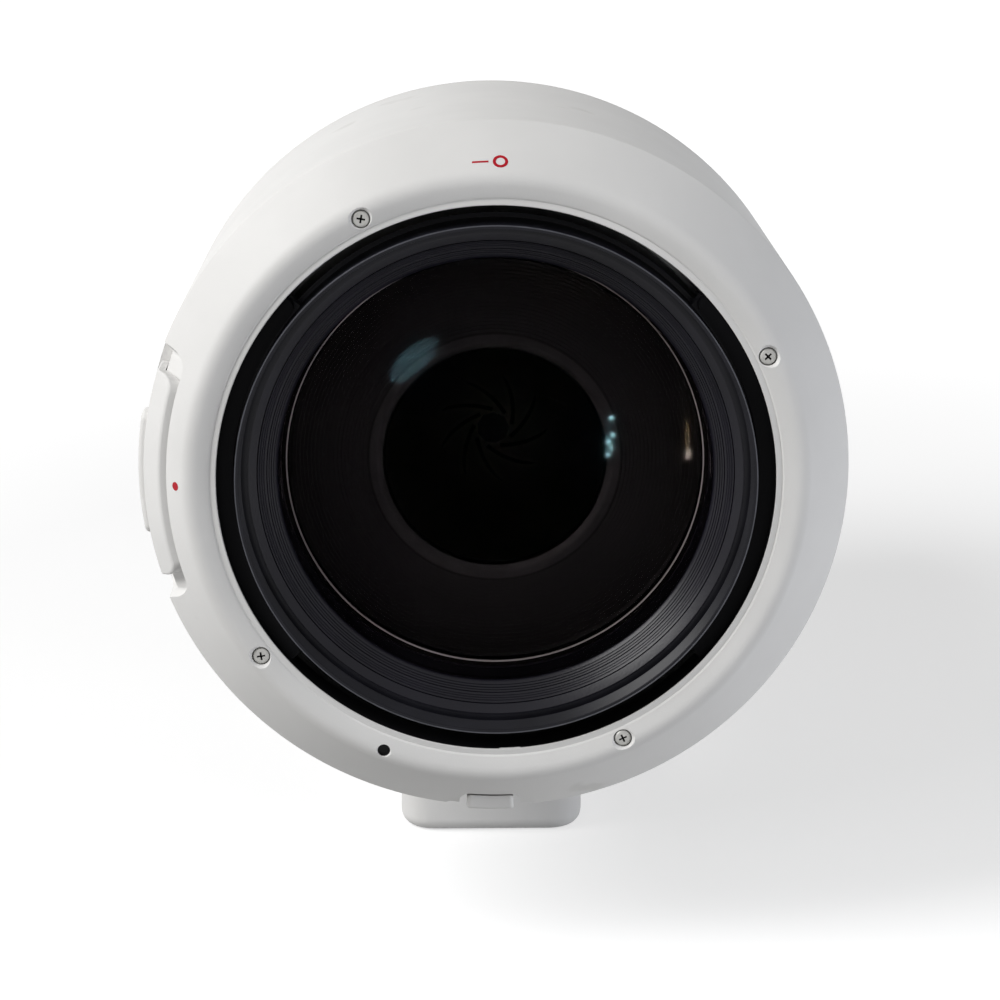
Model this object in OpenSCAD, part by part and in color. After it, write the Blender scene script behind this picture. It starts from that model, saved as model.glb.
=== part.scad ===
// Telephoto zoom lens on a tripod collar, with its hood stored back to front over the barrel.
// The modules work in a lens frame in mm: Z runs forward along the optical axis from the mount flange,
// X is right and Y is up as seen from the front. lens_frame() turns it so that the front faces -Y.

/* [Barrel lengths] */
// Thickness of the mount flange plate
mount_t = 3; // [2.4:0.2:4]
// Length of the tapered rear cover
rear_len = 20; // [17:1:26]
// Length of the switch section
panel_len = 27; // [25:1:34]
// Length of the seat that carries the tripod collar
seat_len = 30; // [26:1:36]
// Length of the focus ring section
focus_len = 26; // [23:1:34]
// Length of the index ring between the two control rings
index_len = 5; // [4:0.5:8]
// Length of the zoom ring section
zoom_len = 56; // [54:1:66]
// Length of the nose ring that ends the fixed barrel
nose_len = 5; // [4:0.5:8]
// Length of the moving head from the nose ring to the filter ring edge
head_len = 21; // [21:0.5:26]

/* [Tube walls and clearances] */
// Nominal diameter of the filter thread
filter_d = 77; // [75:1:82]
// Extending tube radius below the filter thread radius
tube_inset = 0.2; // [0.1:0.1:0.8]
// Wall of the extending front tube
tube_wall = 1.6; // [1.2:0.1:2]
// Wall of the cam tube
cam_wall = 1.8; // [1.4:0.1:2.2]
// Wall of the fixed guide tube
guide_wall = 1.6; // [1.2:0.1:2]
// Wall of the sliding variator carrier
carrier_wall = 2.6; // [2:0.1:3]
// Wall of the fixed core tube
core_wall = 2; // [1.6:0.1:2.4]
// Wall of the fixed outer sleeve
sleeve_wall = 1.6; // [1.2:0.1:2.2]
// Wall of the control ring shells
ring_wall = 1.8; // [1.4:0.1:2.6]
// Thickness of the rubber grips
grip_t = 1.6; // [1.2:0.1:2.4]
// Radial clearance between parts that move past each other
run_gap = 0.3; // [0.25:0.05:0.4]
// Radial room for the dust seal around the extending tube
seal_gap = 0.6; // [0.4:0.1:1]

/* [Zoom mechanism] */
// Turn of the zoom ring from its short to its long end in degrees
zoom_turn = 78; // [60:1:80]
// Forward travel of the front tube over that turn
zoom_travel = 42; // [34:1:42]
// Forward travel of the variator over that turn
variator_travel = 12; // [8:1:12]
// Radius of the cam rollers
roller_r = 1.8; // [1.4:0.1:2]
// Clearance on each side of a roller in its slot
slot_gap = 0.2; // [0.15:0.05:0.3]
// Axial length of the key that ties a control ring to its cam
key_len = 4.5; // [3.5:0.5:5]
// Angle taken by such a key in degrees
key_angle = 8; // [6:1:10]

/* [Focus and stabiliser] */
// Turn of the focus ring in degrees
focus_turn = 100; // [80:2:104]
// Forward travel of the focusing group over that turn
focus_travel = 8; // [5:0.5:9]
// Radius of the pins that carry the focusing group
pin_r = 1.2; // [1:0.1:1.5]
// Radius of the focusing lens
focus_lens_r = 19; // [16:0.5:20]
// Radius of the stabiliser lens
stabiliser_lens_r = 13; // [11:0.5:14]
// Travel of the stabiliser to each side
stabiliser_travel = 0.8; // [0.5:0.1:1.2]

/* [Iris] */
// Number of iris blades
blade_count = 9; // [9:1:9]
// Clear radius of the open iris
iris_open_r = 13; // [12:0.5:13.5]
// Radius of the hole that the stopped down iris leaves
iris_hole_r = 2.5; // [2:0.1:4]
// Width of a blade
blade_w = 7; // [6.6:0.1:7.2]
// Thickness of a blade
blade_t = 0.14; // [0.1:0.02:0.16]
// Height of one blade level
blade_step = 0.3; // [0.26:0.02:0.4]
// Angle that a blade covers from its pivot in degrees
blade_sweep = 118; // [110:1:124]
// Radius of the blade pins
blade_pin_r = 0.6; // [0.5:0.05:0.7]
// Distance from a blade pivot to its drive pin
blade_arm = 3.4; // [3:0.1:3.6]

/* [Front optics] */
// Wall of the filter ring outside its thread
filter_wall = 0.7; // [0.6:0.1:1]
// Depth of the filter thread
filter_depth = 4.2; // [3.5:0.1:4.6]
// Radius of the front element
front_lens_r = 34.6; // [33:0.2:34.8]
// Visible radius of the front element inside its retainer
front_clear_r = 33; // [31:0.5:33.4]
// Bulge of the front element
front_sag = 3.4; // [2.6:0.1:3.5]
// Edge thickness of the front element
front_edge = 3.4; // [3:0.1:4]
// Edge thickness of the second element
second_edge = 2; // [1.6:0.1:2.4]
// Clear radius of the variator mouth
variator_clear_r = 17; // [14:0.5:19]

/* [Hood] */
// Length of the hood
hood_length = 61; // [52:1:74]
// Room between the zoom grip and the hood liner
hood_room = 4.6; // [4:0.1:6]
// Wall of the black hood liner
liner_wall = 1.8; // [1.4:0.1:2.4]
// Wall of the white hood shell
hood_wall = 3.2; // [3:0.1:4]
// Height of the bayonet lugs on the filter ring
lug_h = 2; // [1.6:0.1:2.4]
// Room around those lugs in the hood mouth
lug_room = 0.8; // [0.5:0.1:1.2]
// Angle that a bayonet lug covers in degrees
lug_angle = 84; // [70:1:86]
// Thickness of the hood base wall
base_t = 3; // [2.6:0.1:3.4]
// Length of the bevel behind the front face of the hood
bevel_len = 7.6; // [7:0.1:9]
// Width of the raised lip around the hood mouth
lip_w = 1.05; // [0.8:0.05:1.3]
// Height of that lip
lip_h = 0.35; // [0.2:0.05:0.6]
// Radial distance of the hood screws from the mouth
screw_in = 2.7; // [2.4:0.1:2.8]
// Head radius of a hood screw
screw_head_r = 1.5; // [1.2:0.1:1.6]
// Half angle of the side slider in degrees
slider_half = 18.4; // [15:0.2:19]
// Free play of the slider to each side in degrees
slider_play = 3.2; // [2:0.2:3.4]
// Width of the hood release button
button_w = 7.4; // [6:0.2:8]
// Stroke of the hood release button
button_stroke = 1; // [0.6:0.1:1.1]

/* [Tripod collar] */
// Depth of the collar seat below the barrel
seat_step = 1; // [0.6:0.1:1.2]
// Wall of the collar ring
collar_wall = 3; // [2.6:0.1:6]
// Height from the optical axis to the foot base
foot_h = 78.5; // [74:0.5:84]
// Thickness of the foot plate
foot_t = 12; // [10:0.5:13]
// Width of the foot plate
foot_w = 32; // [28:0.5:36]
// Length of the foot plate
foot_len = 88; // [80:1:96]
// Corner radius of the foot plate
foot_round = 3.2; // [2:0.1:4]
// Thread radius of the tripod socket
socket_r = 3.175; // [3.175:0.001:4.763]
// Depth of the tripod socket
socket_depth = 9; // [7:0.5:9.5]
// Radius of the locking knob
knob_r = 8; // [7:0.5:9]
// Length of the locking knob
knob_len = 7; // [6:0.5:8]

/* [Camera mount] */
// Radius of the mount flange
flange_r = 34; // [33:0.5:35]
// Radius of the throat
throat_r = 20.5; // [19:0.5:21]
// Radius of the bayonet spigot
spigot_r = 25.4; // [25:0.1:26]
// Radius over the bayonet lugs
mount_lug_r = 27.4; // [27:0.1:28]
// Length of the spigot behind the flange
spigot_len = 5.5; // [5:0.1:6.5]
// Thickness of a mount lug
mount_lug_t = 1.8; // [1.4:0.1:2]
// Number of electrical contacts
contact_count = 10; // [8:1:12]

/* [Switches] */
// Travel of a slide switch
switch_travel = 3; // [2:0.1:3.4]
// Length of a switch knob
switch_l = 5; // [4:0.1:5.6]
// Width of a switch knob
switch_w = 4; // [3:0.1:4.4]
// Angle between neighbouring switches in degrees
switch_pitch = 11; // [10:0.5:12]

/* [Hidden] */
$fn = 96;
eps = 0.01;

// Stations along the axis
z_panel = mount_t + rear_len;
z_seat = z_panel + panel_len;
z_focus = z_seat + seat_len;
z_index = z_focus + focus_len;
z_zoom = z_index + index_len;
z_nose = z_zoom + zoom_len;
z_head = z_nose + nose_len;
z_front = z_head + head_len;

// Radii of the nested tubes, inward and outward from the extending tube
filter_r = filter_d / 2;
tube_r = filter_r - tube_inset;
tube_in = tube_r - tube_wall;
cam_r = tube_in - run_gap;
cam_in = cam_r - cam_wall;
guide_r = cam_in - run_gap;
guide_in = guide_r - guide_wall;
carrier_r = guide_in - run_gap;
carrier_in = carrier_r - carrier_wall;
core_r = carrier_in - run_gap;
core_in = core_r - core_wall;
sleeve_in = tube_r + seal_gap;
sleeve_r = sleeve_in + sleeve_wall;
ring_in = sleeve_r + run_gap;
ring_r = ring_in + ring_wall;
grip_r = ring_r + grip_t;
liner_in = grip_r + hood_room;
liner_r = liner_in + liner_wall;
hood_r = liner_r + hood_wall;
filter_out = filter_r + filter_wall;
lug_r = filter_out + lug_h;
mouth_r = lug_r + lug_room;
seat_r = ring_r - seat_step;
collar_in = seat_r + run_gap;
collar_r = collar_in + collar_wall;

// Fixed inner structure
z_wall = mount_t + 5;
z_core_end = z_head - 9;
z_bulk = z_index - 9;
bulk_t = 3;
z_cam = z_bulk + bulk_t + 2;
z_cam_end = z_head + 3.5;
z_guide_end = z_head + 5;
rear_clear_r = 17;
rear_lens_r = 19;
rear_lens_edge = 3;
rear_open_r = 24;
seat_room = 0.1;
z_rear_seat = z_wall + 7;
z_web = z_zoom + 5;
web_t = 3;
z_motor = z_seat + 3.4;
board_t = 1.6;

// Control rings
ring_end = 0.5;
zoom_grip_in = 4;
focus_grip_in = 3;
grip_ribs = 60;
grip_groove = 0.7;
grip_slot = 0.9;
key_room = 0.6;
key_play = 2;

// Zoom stations
z_key = z_zoom + 2;
z_tube = z_key + key_len + 1.5;
z_roller = z_tube + 4;
z_tube_end = z_head + 12;
slot_r = roller_r + slot_gap;
z_carrier = z_bulk + bulk_t + 0.8;
z_carrier_end = z_head + 5;
z_var_roller = z_cam + 2.6;
front_roller_a = 90;
var_roller_a = 120;
zoom_key_a = 82;
slot_end = slot_r + 0.3;
variator_web = 5;
variator_edge = 2.5;
variator_pocket = 4.4;

// Focus stations
z_fcam = z_focus - 16;
z_fcam_end = z_bulk - 1.2;
z_fkey = z_focus + 3;
z_fcell = z_focus - 10;
fcell_len = 10;
z_fpin = z_fcell + 5;
fcam_in = core_r + run_gap;
fcam_r = fcam_in + cam_wall;
fpin_a = 30;
fkey_a = 200;
pin_slot = pin_r + slot_gap;
pin_end = pin_slot + 0.3;
fcell_seat = 2;

// Iris stations: the pivots sit just outside the open blades
iris_back = 11.5;
z_iris = z_core_end - iris_back;
iris_base_t = 1.8;
pivot_r = iris_open_r + blade_w + 1.2;
iris_close = 2 * asin((iris_open_r - iris_hole_r) / (2 * pivot_r));
iris_turn = atan2(blade_arm * sin(iris_close), pivot_r + blade_arm * cos(iris_close));
z_blades = z_iris + iris_base_t + 0.3;
z_iris_ring = z_blades + blade_count * blade_step + 0.2;
iris_ring_t = 1.2;
pin_room = 0.3;
blade_pin_z = z_iris + 0.3;

// Front optics stations
z_shoulder = z_front - filter_depth;
z_lens_front = z_front - 8;
z_lens_back = z_lens_front - front_edge;
z_second_back = z_lens_back - second_edge;
lens_lip = 1.3;
lens_bore_r = front_lens_r + seat_room;
retainer_r = filter_r - 0.9;

// Hood stations, measured back from the hood front plane
bevel_r0 = mouth_r + 5.6;
bevel_z0 = 1.8;
face_r = mouth_r + 4.4;
base_in_r = mouth_r + 4.8;
hood_lug_t = 2.4;
liner_knee = 1.5;
liner_short = 2;
liner_base = 4;
hood_lug_in = filter_out + 0.4;
lens_lug_t = 2.5;
bevel_slope = (hood_r - bevel_r0) / (bevel_len - bevel_z0);
function bevel_at(d) = bevel_r0 + bevel_slope * (d - bevel_z0);
slider_d0 = 3.2;
slider_d1 = 16;
groove_depth = 0.8;
slider_rise = 1.2;
slider_top = hood_r - 0.6;
slider_gap = 0.45;
groove_floor = hood_r - groove_depth - slider_rise;
rib_rise = 1.5;
button_a = 269;
button_d0 = 7.4;
button_d1 = 18.9;
button_room = 0.3;
button_frame = 1.4;
slider_a = 180.8;
slider_room = 0.4;
stem_half = 3;
stem_d0 = 11.9;
stem_d1 = 14.1;
rib_a = 180.6;
rib_half = 10.4;
rib_d0 = 9;
rib_d1 = 14;
hood_screws_a = [25.7, 116.3, 216.8, 295.7];
screw_pocket = 1.6;
screw_shank_r = 0.8;
cross_w = 0.4;
plug_a = 247.6;
plug_r = 1;
plug_in = 3.4;
nub_a = 272.8;
nub_half = 2.4;

// Collar, foot and mount details
z_collar = z_seat + 1;
z_collar_end = z_focus - 1;
collar_edge = 1.2;
tail_fall = 0.8;
knob_a = 205;
knob_boss_r = 6.5;
knob_boss_h = 2.2;
knob_screw_r = 2.5;
knob_ribs = 24;
knob_rib_w = 0.8;
z_knob = (z_seat + z_focus) / 2;
z_foot = z_seat - 4;
foot_edge = 1;
stalk_in = 3;
z_socket = z_foot + foot_len * 0.62;
twist_in = 15;
twist_r = 2.25;
twist_depth = 5;
foot_head_r = 3.5;
foot_head_h = 4;
foot_shank_r = 2;
foot_hex_r = 1.7;
mount_screw_in = (spigot_r + flange_r) / 2;
mount_head_r = 1.8;
mount_shank_r = 0.9;
mount_lug_half = 26;
gasket_w = 1;
contact_r = 0.65;
contact_in = throat_r + 1.1;
contact_out = spigot_r - 0.9;
contact_depth = 2.5;
contact_half = 30;
contact_span = 50;

// Switch details
switch_angles = [-switch_pitch, 0, switch_pitch];
z_switch = (z_panel + z_seat) / 2;
panel_t = 1.2;

// Turns the lens frame so that the front faces -Y and up is +Z
module lens_frame() {
    rotate([90, 0, 0])
        children();
}

// Plain ring between two stations
module ring(r_out, r_in, z0, z1) {
    rotate_extrude()
        translate([r_in, z0])
            square([r_out - r_in, z1 - z0]);
}

// Part of a ring centred on an angle
module ring_sector(r_out, r_in, z0, z1, at, half) {
    rotate([0, 0, at - half])
        rotate_extrude(angle = 2 * half)
            translate([r_in, z0])
                square([r_out - r_in, z1 - z0]);
}

// Radial pin at an angle and station
module radial_pin(r, from, to, at, z) {
    rotate([0, 0, at])
        translate([from, 0, z])
            rotate([0, 90, 0])
                cylinder(r = r, h = to - from);
}

// Straight axial slot through a tube wall
module axial_slot(half, r0, r1, z0, z1, at) {
    rotate([0, 0, at])
        translate([r0, -half, z0])
            cube([r1 - r0, 2 * half, z1 - z0]);
}

// Helical slot through a tube wall from r_in to r_out, as wide as a pin of the given radius needs
module cam_slot(half, r_in, r_out, z0, travel, turn, at) {
    mid = (r_in + r_out) / 2;
    r0 = r_in - 1;
    r1 = r_out + 3;
    wide = half / sin(atan2(travel, mid * turn * PI / 180));
    ends = half + 0.2;
    lead = turn / travel;
    height = travel + 2 * ends;
    side = wide / mid * 180 / PI;
    rotate([0, 0, at + lead * ends])
        translate([0, 0, z0 - ends])
            linear_extrude(height = height, twist = lead * height, slices = ceil(lead * height / 6), $fn = 4)
                polygon([
                    [r0 * cos(side), -r0 * sin(side)], [r1 * cos(side), -r1 * sin(side)],
                    [r1 * cos(side), r1 * sin(side)], [r0 * cos(side), r0 * sin(side)]
                ]);
}

// Lens with a cylindrical edge: a bulge to the front and a bulge or hollow at the back
module lens(r, z0, edge, front, back) {
    front_ball = (r * r + front * front) / (2 * abs(front));
    back_ball = (r * r + back * back) / (2 * abs(back));
    difference() {
        intersection() {
            translate([0, 0, z0 - max(0, -back)])
                cylinder(r = r, h = edge + front + max(0, -back));
            translate([0, 0, z0 + edge + front - front_ball])
                sphere(r = front_ball, $fn = 400);
            if (back < 0)
                translate([0, 0, z0 + back + back_ball])
                    sphere(r = back_ball, $fn = 400);
        }
        if (back > 0)
            translate([0, 0, z0 + back - back_ball])
                sphere(r = back_ball, $fn = 400);
    }
}

// Ribbed rubber sleeve
module grip(z0, z1) {
    mid = (z0 + z1) / 2;
    border = 1.5;
    difference() {
        ring(grip_r, ring_r, z0, z1);
        for (i = [0 : grip_ribs - 1])
            rotate([0, 0, i * 360 / grip_ribs])
                translate([grip_r - grip_groove, -grip_slot / 2, z0 + border])
                    cube([grip_t, grip_slot, z1 - z0 - 2 * border]);
        ring(grip_r + 1, grip_r - grip_groove, mid - grip_slot, mid + grip_slot);
    }
}

// Bayonet flange, spigot and three lugs
module mount_plate() {
    color("silver")
        difference() {
            union() {
                ring(flange_r, throat_r, 0, mount_t);
                ring(spigot_r, throat_r, -spigot_len, eps);
                for (a = [30, 150, 270])
                    ring_sector(mount_lug_r, throat_r + 1, -spigot_len, mount_lug_t - spigot_len, a,
                        mount_lug_half);
            }
            for (i = [0 : 3])
                mount_screw_at(i, seat_room);
            contact_sector(eps, contact_half);
        }
}

module mount_screw_at(i, room) {
    rotate([0, 0, 45 + 90 * i])
        translate([mount_screw_in, 0, 0]) {
            translate([0, 0, -eps])
                cylinder(r1 = mount_head_r + room, r2 = mount_shank_r + 0.1 + room, h = 1.2);
            cylinder(r = mount_shank_r + room, h = mount_t + 3);
        }
}

// Bent block at the spigot end, lowered by a cut where it is a pocket
module contact_sector(cut, half) {
    ring_sector(contact_out, contact_in, -spigot_len - cut, -spigot_len + contact_depth, 270, half);
}

// Four cross-head screws that hold the flange to the rear barrel
module mount_screws() {
    color("dimgray")
        for (i = [0 : 3])
            difference() {
                mount_screw_at(i, 0);
                rotate([0, 0, 45 + 90 * i])
                    translate([mount_screw_in, 0, -0.1])
                        for (a = [0, 90])
                            rotate([0, 0, a])
                                cube([mount_head_r + 0.2, cross_w, 1.4], center = true);
            }
}

// Rubber dust ring around the flange
module mount_gasket() {
    color("black")
        ring(flange_r + gasket_w, flange_r, 0.2, mount_t);
}

// Insulating block let into the spigot end
module contact_block() {
    color("black")
        difference() {
            contact_sector(0, contact_half - 0.5);
            for (i = [0 : contact_count - 1])
                contact_at(i);
        }
}

module contact_at(i) {
    rotate([0, 0, 270 + (i - (contact_count - 1) / 2) * contact_span / contact_count])
        translate([(contact_in + contact_out) / 2, 0, -spigot_len - 0.25])
            cylinder(r = contact_r, h = 2);
}

// Contacts on the spigot end
module contact_pins() {
    color("gold")
        for (i = [0 : contact_count - 1])
            contact_at(i);
}

// White rear cover, switch section and collar seat in one casting
module rear_barrel() {
    color("whitesmoke")
        difference() {
            rotate_extrude()
                polygon([
                    [rear_open_r, mount_t], [flange_r + gasket_w, mount_t], [flange_r + 2.2, mount_t + 2],
                    [ring_r - tail_fall, z_panel - 3], [ring_r, z_panel + 1], [ring_r, z_seat],
                    [seat_r, z_seat], [seat_r, z_focus],
                    [sleeve_r, z_focus], [sleeve_r, z_panel], [core_r + 2, z_wall + 3], [core_r + 2, z_wall],
                    [rear_open_r, z_wall]
                ]);
            for (i = [0 : 3])
                mount_screw_at(i, 0);
        }
}

// Raised black panel with a slot for each switch
module switch_panel() {
    slot_l = switch_l + switch_travel + 2 * run_gap;
    color("dimgray")
        difference() {
            ring_sector(ring_r + panel_t, ring_r, z_panel + 1, z_seat - 1, 0, switch_pitch * 1.5 + 3);
            for (a = switch_angles)
                rotate([0, 0, a])
                    translate([ring_r - panel_t, -switch_w / 2 - run_gap, z_switch - slot_l / 2])
                        cube([4 * panel_t, switch_w + 2 * run_gap, slot_l]);
        }
}

// Slide switch, drawn at the front end of its travel
module slide_switch(a) {
    z0 = z_switch + (switch_travel - switch_l) / 2;
    color("lightgray")
        difference() {
            intersection() {
                rotate([0, 0, a])
                    translate([ring_r - panel_t, -switch_w / 2, z0])
                        cube([4 * panel_t, switch_w, switch_l]);
                ring(ring_r + panel_t + 1, ring_r + run_gap, z0 - 1, z0 + switch_l + 1);
            }
            for (i = [-1 : 1])
                rotate([0, 0, a])
                    translate([ring_r + panel_t + 0.6, -switch_w, z0 + switch_l / 2 + i * 1.2 - 0.25])
                        cube([3, switch_w * 2, 0.5]);
        }
}

module focus_mode_switch() {
    slide_switch(switch_angles[2]);
}

module stabiliser_switch() {
    slide_switch(switch_angles[1]);
}

module stabiliser_mode_switch() {
    slide_switch(switch_angles[0]);
}

// Fixed sleeve that both control rings turn on, slotted for their keys
module main_sleeve() {
    color("darkgray")
        difference() {
            ring(sleeve_r, sleeve_in, z_focus - 10, z_head);
            ring_sector(sleeve_r + 1, sleeve_in - 1, z_fkey - key_room, z_fkey + key_len + key_room,
                fkey_a + focus_turn / 2, (focus_turn + key_angle) / 2 + key_play);
            ring_sector(sleeve_r + 1, sleeve_in - 1, z_key - key_room, z_key + key_len + key_room,
                zoom_key_a + zoom_turn / 2, (zoom_turn + key_angle) / 2 + key_play);
        }
}

// White ring with the index line, between the control rings
module index_ring() {
    color("whitesmoke")
        ring(ring_r, sleeve_r, z_index, z_zoom);
}

// White ring that closes the front of the fixed barrel
module nose_ring() {
    color("whitesmoke")
        rotate_extrude()
            polygon([
                [sleeve_r, z_nose], [ring_r, z_nose], [ring_r, z_head - 1], [ring_r - 1, z_head],
                [sleeve_r, z_head]
            ]);
}

// Fixed guide tube with straight slots, carried by a bulkhead
module guide_tube() {
    color("gray")
        difference() {
            union() {
                ring(guide_r, guide_in, z_bulk, z_guide_end);
                ring(sleeve_in, core_r, z_bulk, z_bulk + bulk_t);
            }
            for (i = [0 : 2]) {
                axial_slot(slot_r, guide_in - 1, guide_r + 1, z_roller - slot_end,
                    z_roller + zoom_travel + slot_end, front_roller_a + 120 * i);
                axial_slot(slot_r, guide_in - 1, guide_r + 1, z_var_roller - slot_end,
                    z_var_roller + variator_travel + slot_end, var_roller_a + 120 * i);
            }
        }
}

// Fixed core tube: rear lens seat, stabiliser web and straight slots for the focusing pins
module core_tube() {
    color("dimgray")
        difference() {
            union() {
                ring(core_r, core_in, z_wall, z_core_end);
                ring(core_r + 2, core_in, z_wall, z_wall + 3);
                ring(core_in + 1, rear_clear_r, z_rear_seat - 2, z_rear_seat);
                ring(core_in + 1, rear_lens_r + seat_room, z_rear_seat - 2, z_rear_seat + 5);
                ring(core_in + 1, stabiliser_lens_r + 2, z_web, z_web + web_t);
            }
            for (i = [0 : 2])
                axial_slot(pin_slot, core_in - 2, core_r + 1, z_fpin - pin_end,
                    z_fpin + focus_travel + pin_end, fpin_a + 120 * i);
        }
}

// Ring-shaped circuit board around the core tube
module circuit_ring() {
    color("darkgreen")
        ring(sleeve_r - 1, core_r, z_panel + 3, z_panel + 3 + board_t);
}

// Ring motor that turns the focusing cam
module focus_motor() {
    color("slategray")
        ring(fcam_r + 4, core_r, z_motor, z_fcam - run_gap);
}

module rear_lens() {
    color("lightblue", 0.5)
        lens(rear_lens_r, z_rear_seat, rear_lens_edge, 1.6, 1);
}

// Fixed plate that the blades pivot on
module iris_base() {
    color("dimgray")
        difference() {
            ring(core_in, iris_open_r + 0.2, z_iris, z_iris + iris_base_t);
            for (i = [0 : blade_count - 1])
                rotate([0, 0, i * 360 / blade_count])
                    translate([pivot_r, 0, z_iris - 1])
                        cylinder(r = blade_pin_r + pin_room, h = iris_base_t + 2);
        }
}

// Slotted ring that swings all blades together
module iris_ring() {
    color("gray")
        difference() {
            ring(core_in - run_gap, pivot_r + 1.2, z_iris_ring, z_iris_ring + iris_ring_t);
            for (i = [0 : blade_count - 1])
                rotate([0, 0, i * 360 / blade_count + iris_turn])
                    translate([pivot_r + blade_arm - 1.4, -blade_pin_r - pin_room / 2, z_iris_ring - 1])
                        cube([2.4, 2 * blade_pin_r + pin_room, iris_ring_t + 2]);
        }
}

// One blade, drawn stopped down: a crescent with a pivot pin at the back and a drive pin at the front
module blade(i) {
    level = z_blades + i * blade_step;
    color("black")
        rotate([0, 0, i * 360 / blade_count])
            translate([pivot_r, 0, 0])
                rotate([0, 0, iris_close]) {
                    translate([-pivot_r, 0, 0])
                        ring_sector(iris_open_r + blade_w, iris_open_r, level, level + blade_t,
                            blade_sweep / 2 - 3, blade_sweep / 2 + 3);
                    translate([-2, -1.2, level])
                        cube([blade_arm + 2.4, 2.4, blade_t]);
                    translate([0, 0, blade_pin_z])
                        cylinder(r = blade_pin_r, h = level - blade_pin_z + eps);
                    translate([blade_arm, 0, level])
                        cylinder(r = blade_pin_r, h = z_iris_ring + iris_ring_t - level - 0.2);
                }
}

module blade_1() { blade(0); }
module blade_2() { blade(1); }
module blade_3() { blade(2); }
module blade_4() { blade(3); }
module blade_5() { blade(4); }
module blade_6() { blade(5); }
module blade_7() { blade(6); }
module blade_8() { blade(7); }
module blade_9() { blade(8); }

// Shell of the zoom ring
module zoom_ring() {
    color("whitesmoke")
        ring(ring_r, ring_in, z_zoom + ring_end, z_nose - ring_end);
}

module zoom_grip() {
    color("black")
        grip(z_zoom + zoom_grip_in, z_nose - zoom_grip_in);
}

// Tube turned by the zoom ring: three slots for the front tube, three for the variator, and the key
module cam_tube() {
    color("gray")
        union() {
            difference() {
                ring(cam_r, cam_in, z_cam, z_cam_end);
                for (i = [0 : 2]) {
                    cam_slot(slot_r, cam_in, cam_r, z_roller, zoom_travel, zoom_turn,
                        front_roller_a + 120 * i);
                    cam_slot(slot_r, cam_in, cam_r, z_var_roller, variator_travel, zoom_turn,
                        var_roller_a + 120 * i);
                }
            }
            ring_sector(ring_in, cam_r - 0.5, z_key, z_key + key_len, zoom_key_a, key_angle / 2);
        }
}

// Extending tube with seats for its three rollers
module front_tube() {
    color("black")
        difference() {
            ring(tube_r, tube_in, z_tube, z_tube_end);
            for (i = [0 : 2])
                radial_pin(roller_r, tube_in - 1, tube_r + 1, front_roller_a + 120 * i, z_roller);
        }
}

module front_rollers() {
    color("gold")
        for (i = [0 : 2])
            intersection() {
                radial_pin(roller_r, guide_in + 0.3, tube_r + 1, front_roller_a + 120 * i, z_roller);
                ring(tube_r, guide_in, z_roller - 5, z_roller + 5);
            }
}

// Black head ring: filter thread, hood bayonet and lens seat
module front_ring() {
    z_lug = z_front - base_t - hood_lug_t - 0.3;
    color("black")
        union() {
            rotate_extrude()
                polygon([
                    [filter_r, z_front], [filter_out, z_front], [filter_out, z_lug - lens_lug_t],
                    [tube_r + 1.6, z_lug - lens_lug_t], [tube_r + 1.6, z_head + 2.2], [tube_r, z_head + 2.2],
                    [tube_r, z_tube_end], [tube_in, z_tube_end], [tube_in, z_second_back - lens_lip],
                    [front_clear_r, z_second_back - lens_lip], [front_clear_r, z_second_back],
                    [lens_bore_r, z_second_back], [lens_bore_r, z_lens_front], [retainer_r, z_lens_front],
                    [retainer_r, z_shoulder], [filter_r, z_shoulder]
                ]);
            for (a = [0, 180])
                ring_sector(lug_r, filter_out - 0.2, z_lug - lens_lug_t, z_lug, a, lug_angle / 2);
        }
}

// Grooved conical ring that holds the front element in
module front_retainer() {
    steps = 5;
    rise = z_shoulder - z_lens_front;
    wide = retainer_r - front_clear_r;
    color("black")
        rotate_extrude()
            polygon(concat(
                [[retainer_r, z_lens_front], [retainer_r, z_shoulder]],
                [for (i = [0 : steps - 1]) each [
                    [retainer_r - wide * (i + 0.5) / steps, z_shoulder - rise * 0.92 * i / steps],
                    [retainer_r - wide * (i + 1) / steps, z_shoulder - rise * 0.92 * (i + 1) / steps]
                ]],
                [[front_clear_r, z_lens_front]]
            ));
}

module front_lens() {
    color("lightblue", 0.5)
        intersection() {
            lens(front_lens_r, z_lens_back, front_edge, front_sag, 2);
            union() {
                cylinder(r = front_lens_r, h = z_lens_front);
                cylinder(r = front_clear_r - 0.3, h = z_front);
            }
        }
}

module second_lens() {
    color("lightblue", 0.5)
        lens(front_lens_r, z_second_back, second_edge, 1.4, 0.9);
}

// Sliding tube that carries the variator lens at its front
module variator_carrier() {
    color("dimgray")
        difference() {
            union() {
                ring(carrier_r, carrier_in, z_carrier, z_carrier_end);
                ring(carrier_in + 1, variator_clear_r, z_carrier_end - variator_web, z_carrier_end);
            }
            translate([0, 0, z_carrier_end - variator_web - 1])
                cylinder(r = variator_clear_r + lens_lip + seat_room, h = variator_pocket);
            for (i = [0 : 2])
                radial_pin(roller_r, carrier_in - 1, carrier_r + 1, var_roller_a + 120 * i, z_var_roller);
        }
}

module variator_lens() {
    color("lightblue", 0.5)
        lens(variator_clear_r + lens_lip, z_carrier_end - variator_pocket, variator_edge, 0.8, 0.8);
}

module variator_rollers() {
    color("gold")
        for (i = [0 : 2])
            radial_pin(roller_r, carrier_in + 0.6, cam_r - 0.2, var_roller_a + 120 * i, z_var_roller);
}

// Shell of the focus ring
module focus_ring() {
    color("whitesmoke")
        ring(ring_r, ring_in, z_focus + ring_end, z_index - ring_end);
}

module focus_grip() {
    color("black")
        grip(z_focus + focus_grip_in, z_index - focus_grip_in);
}

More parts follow.
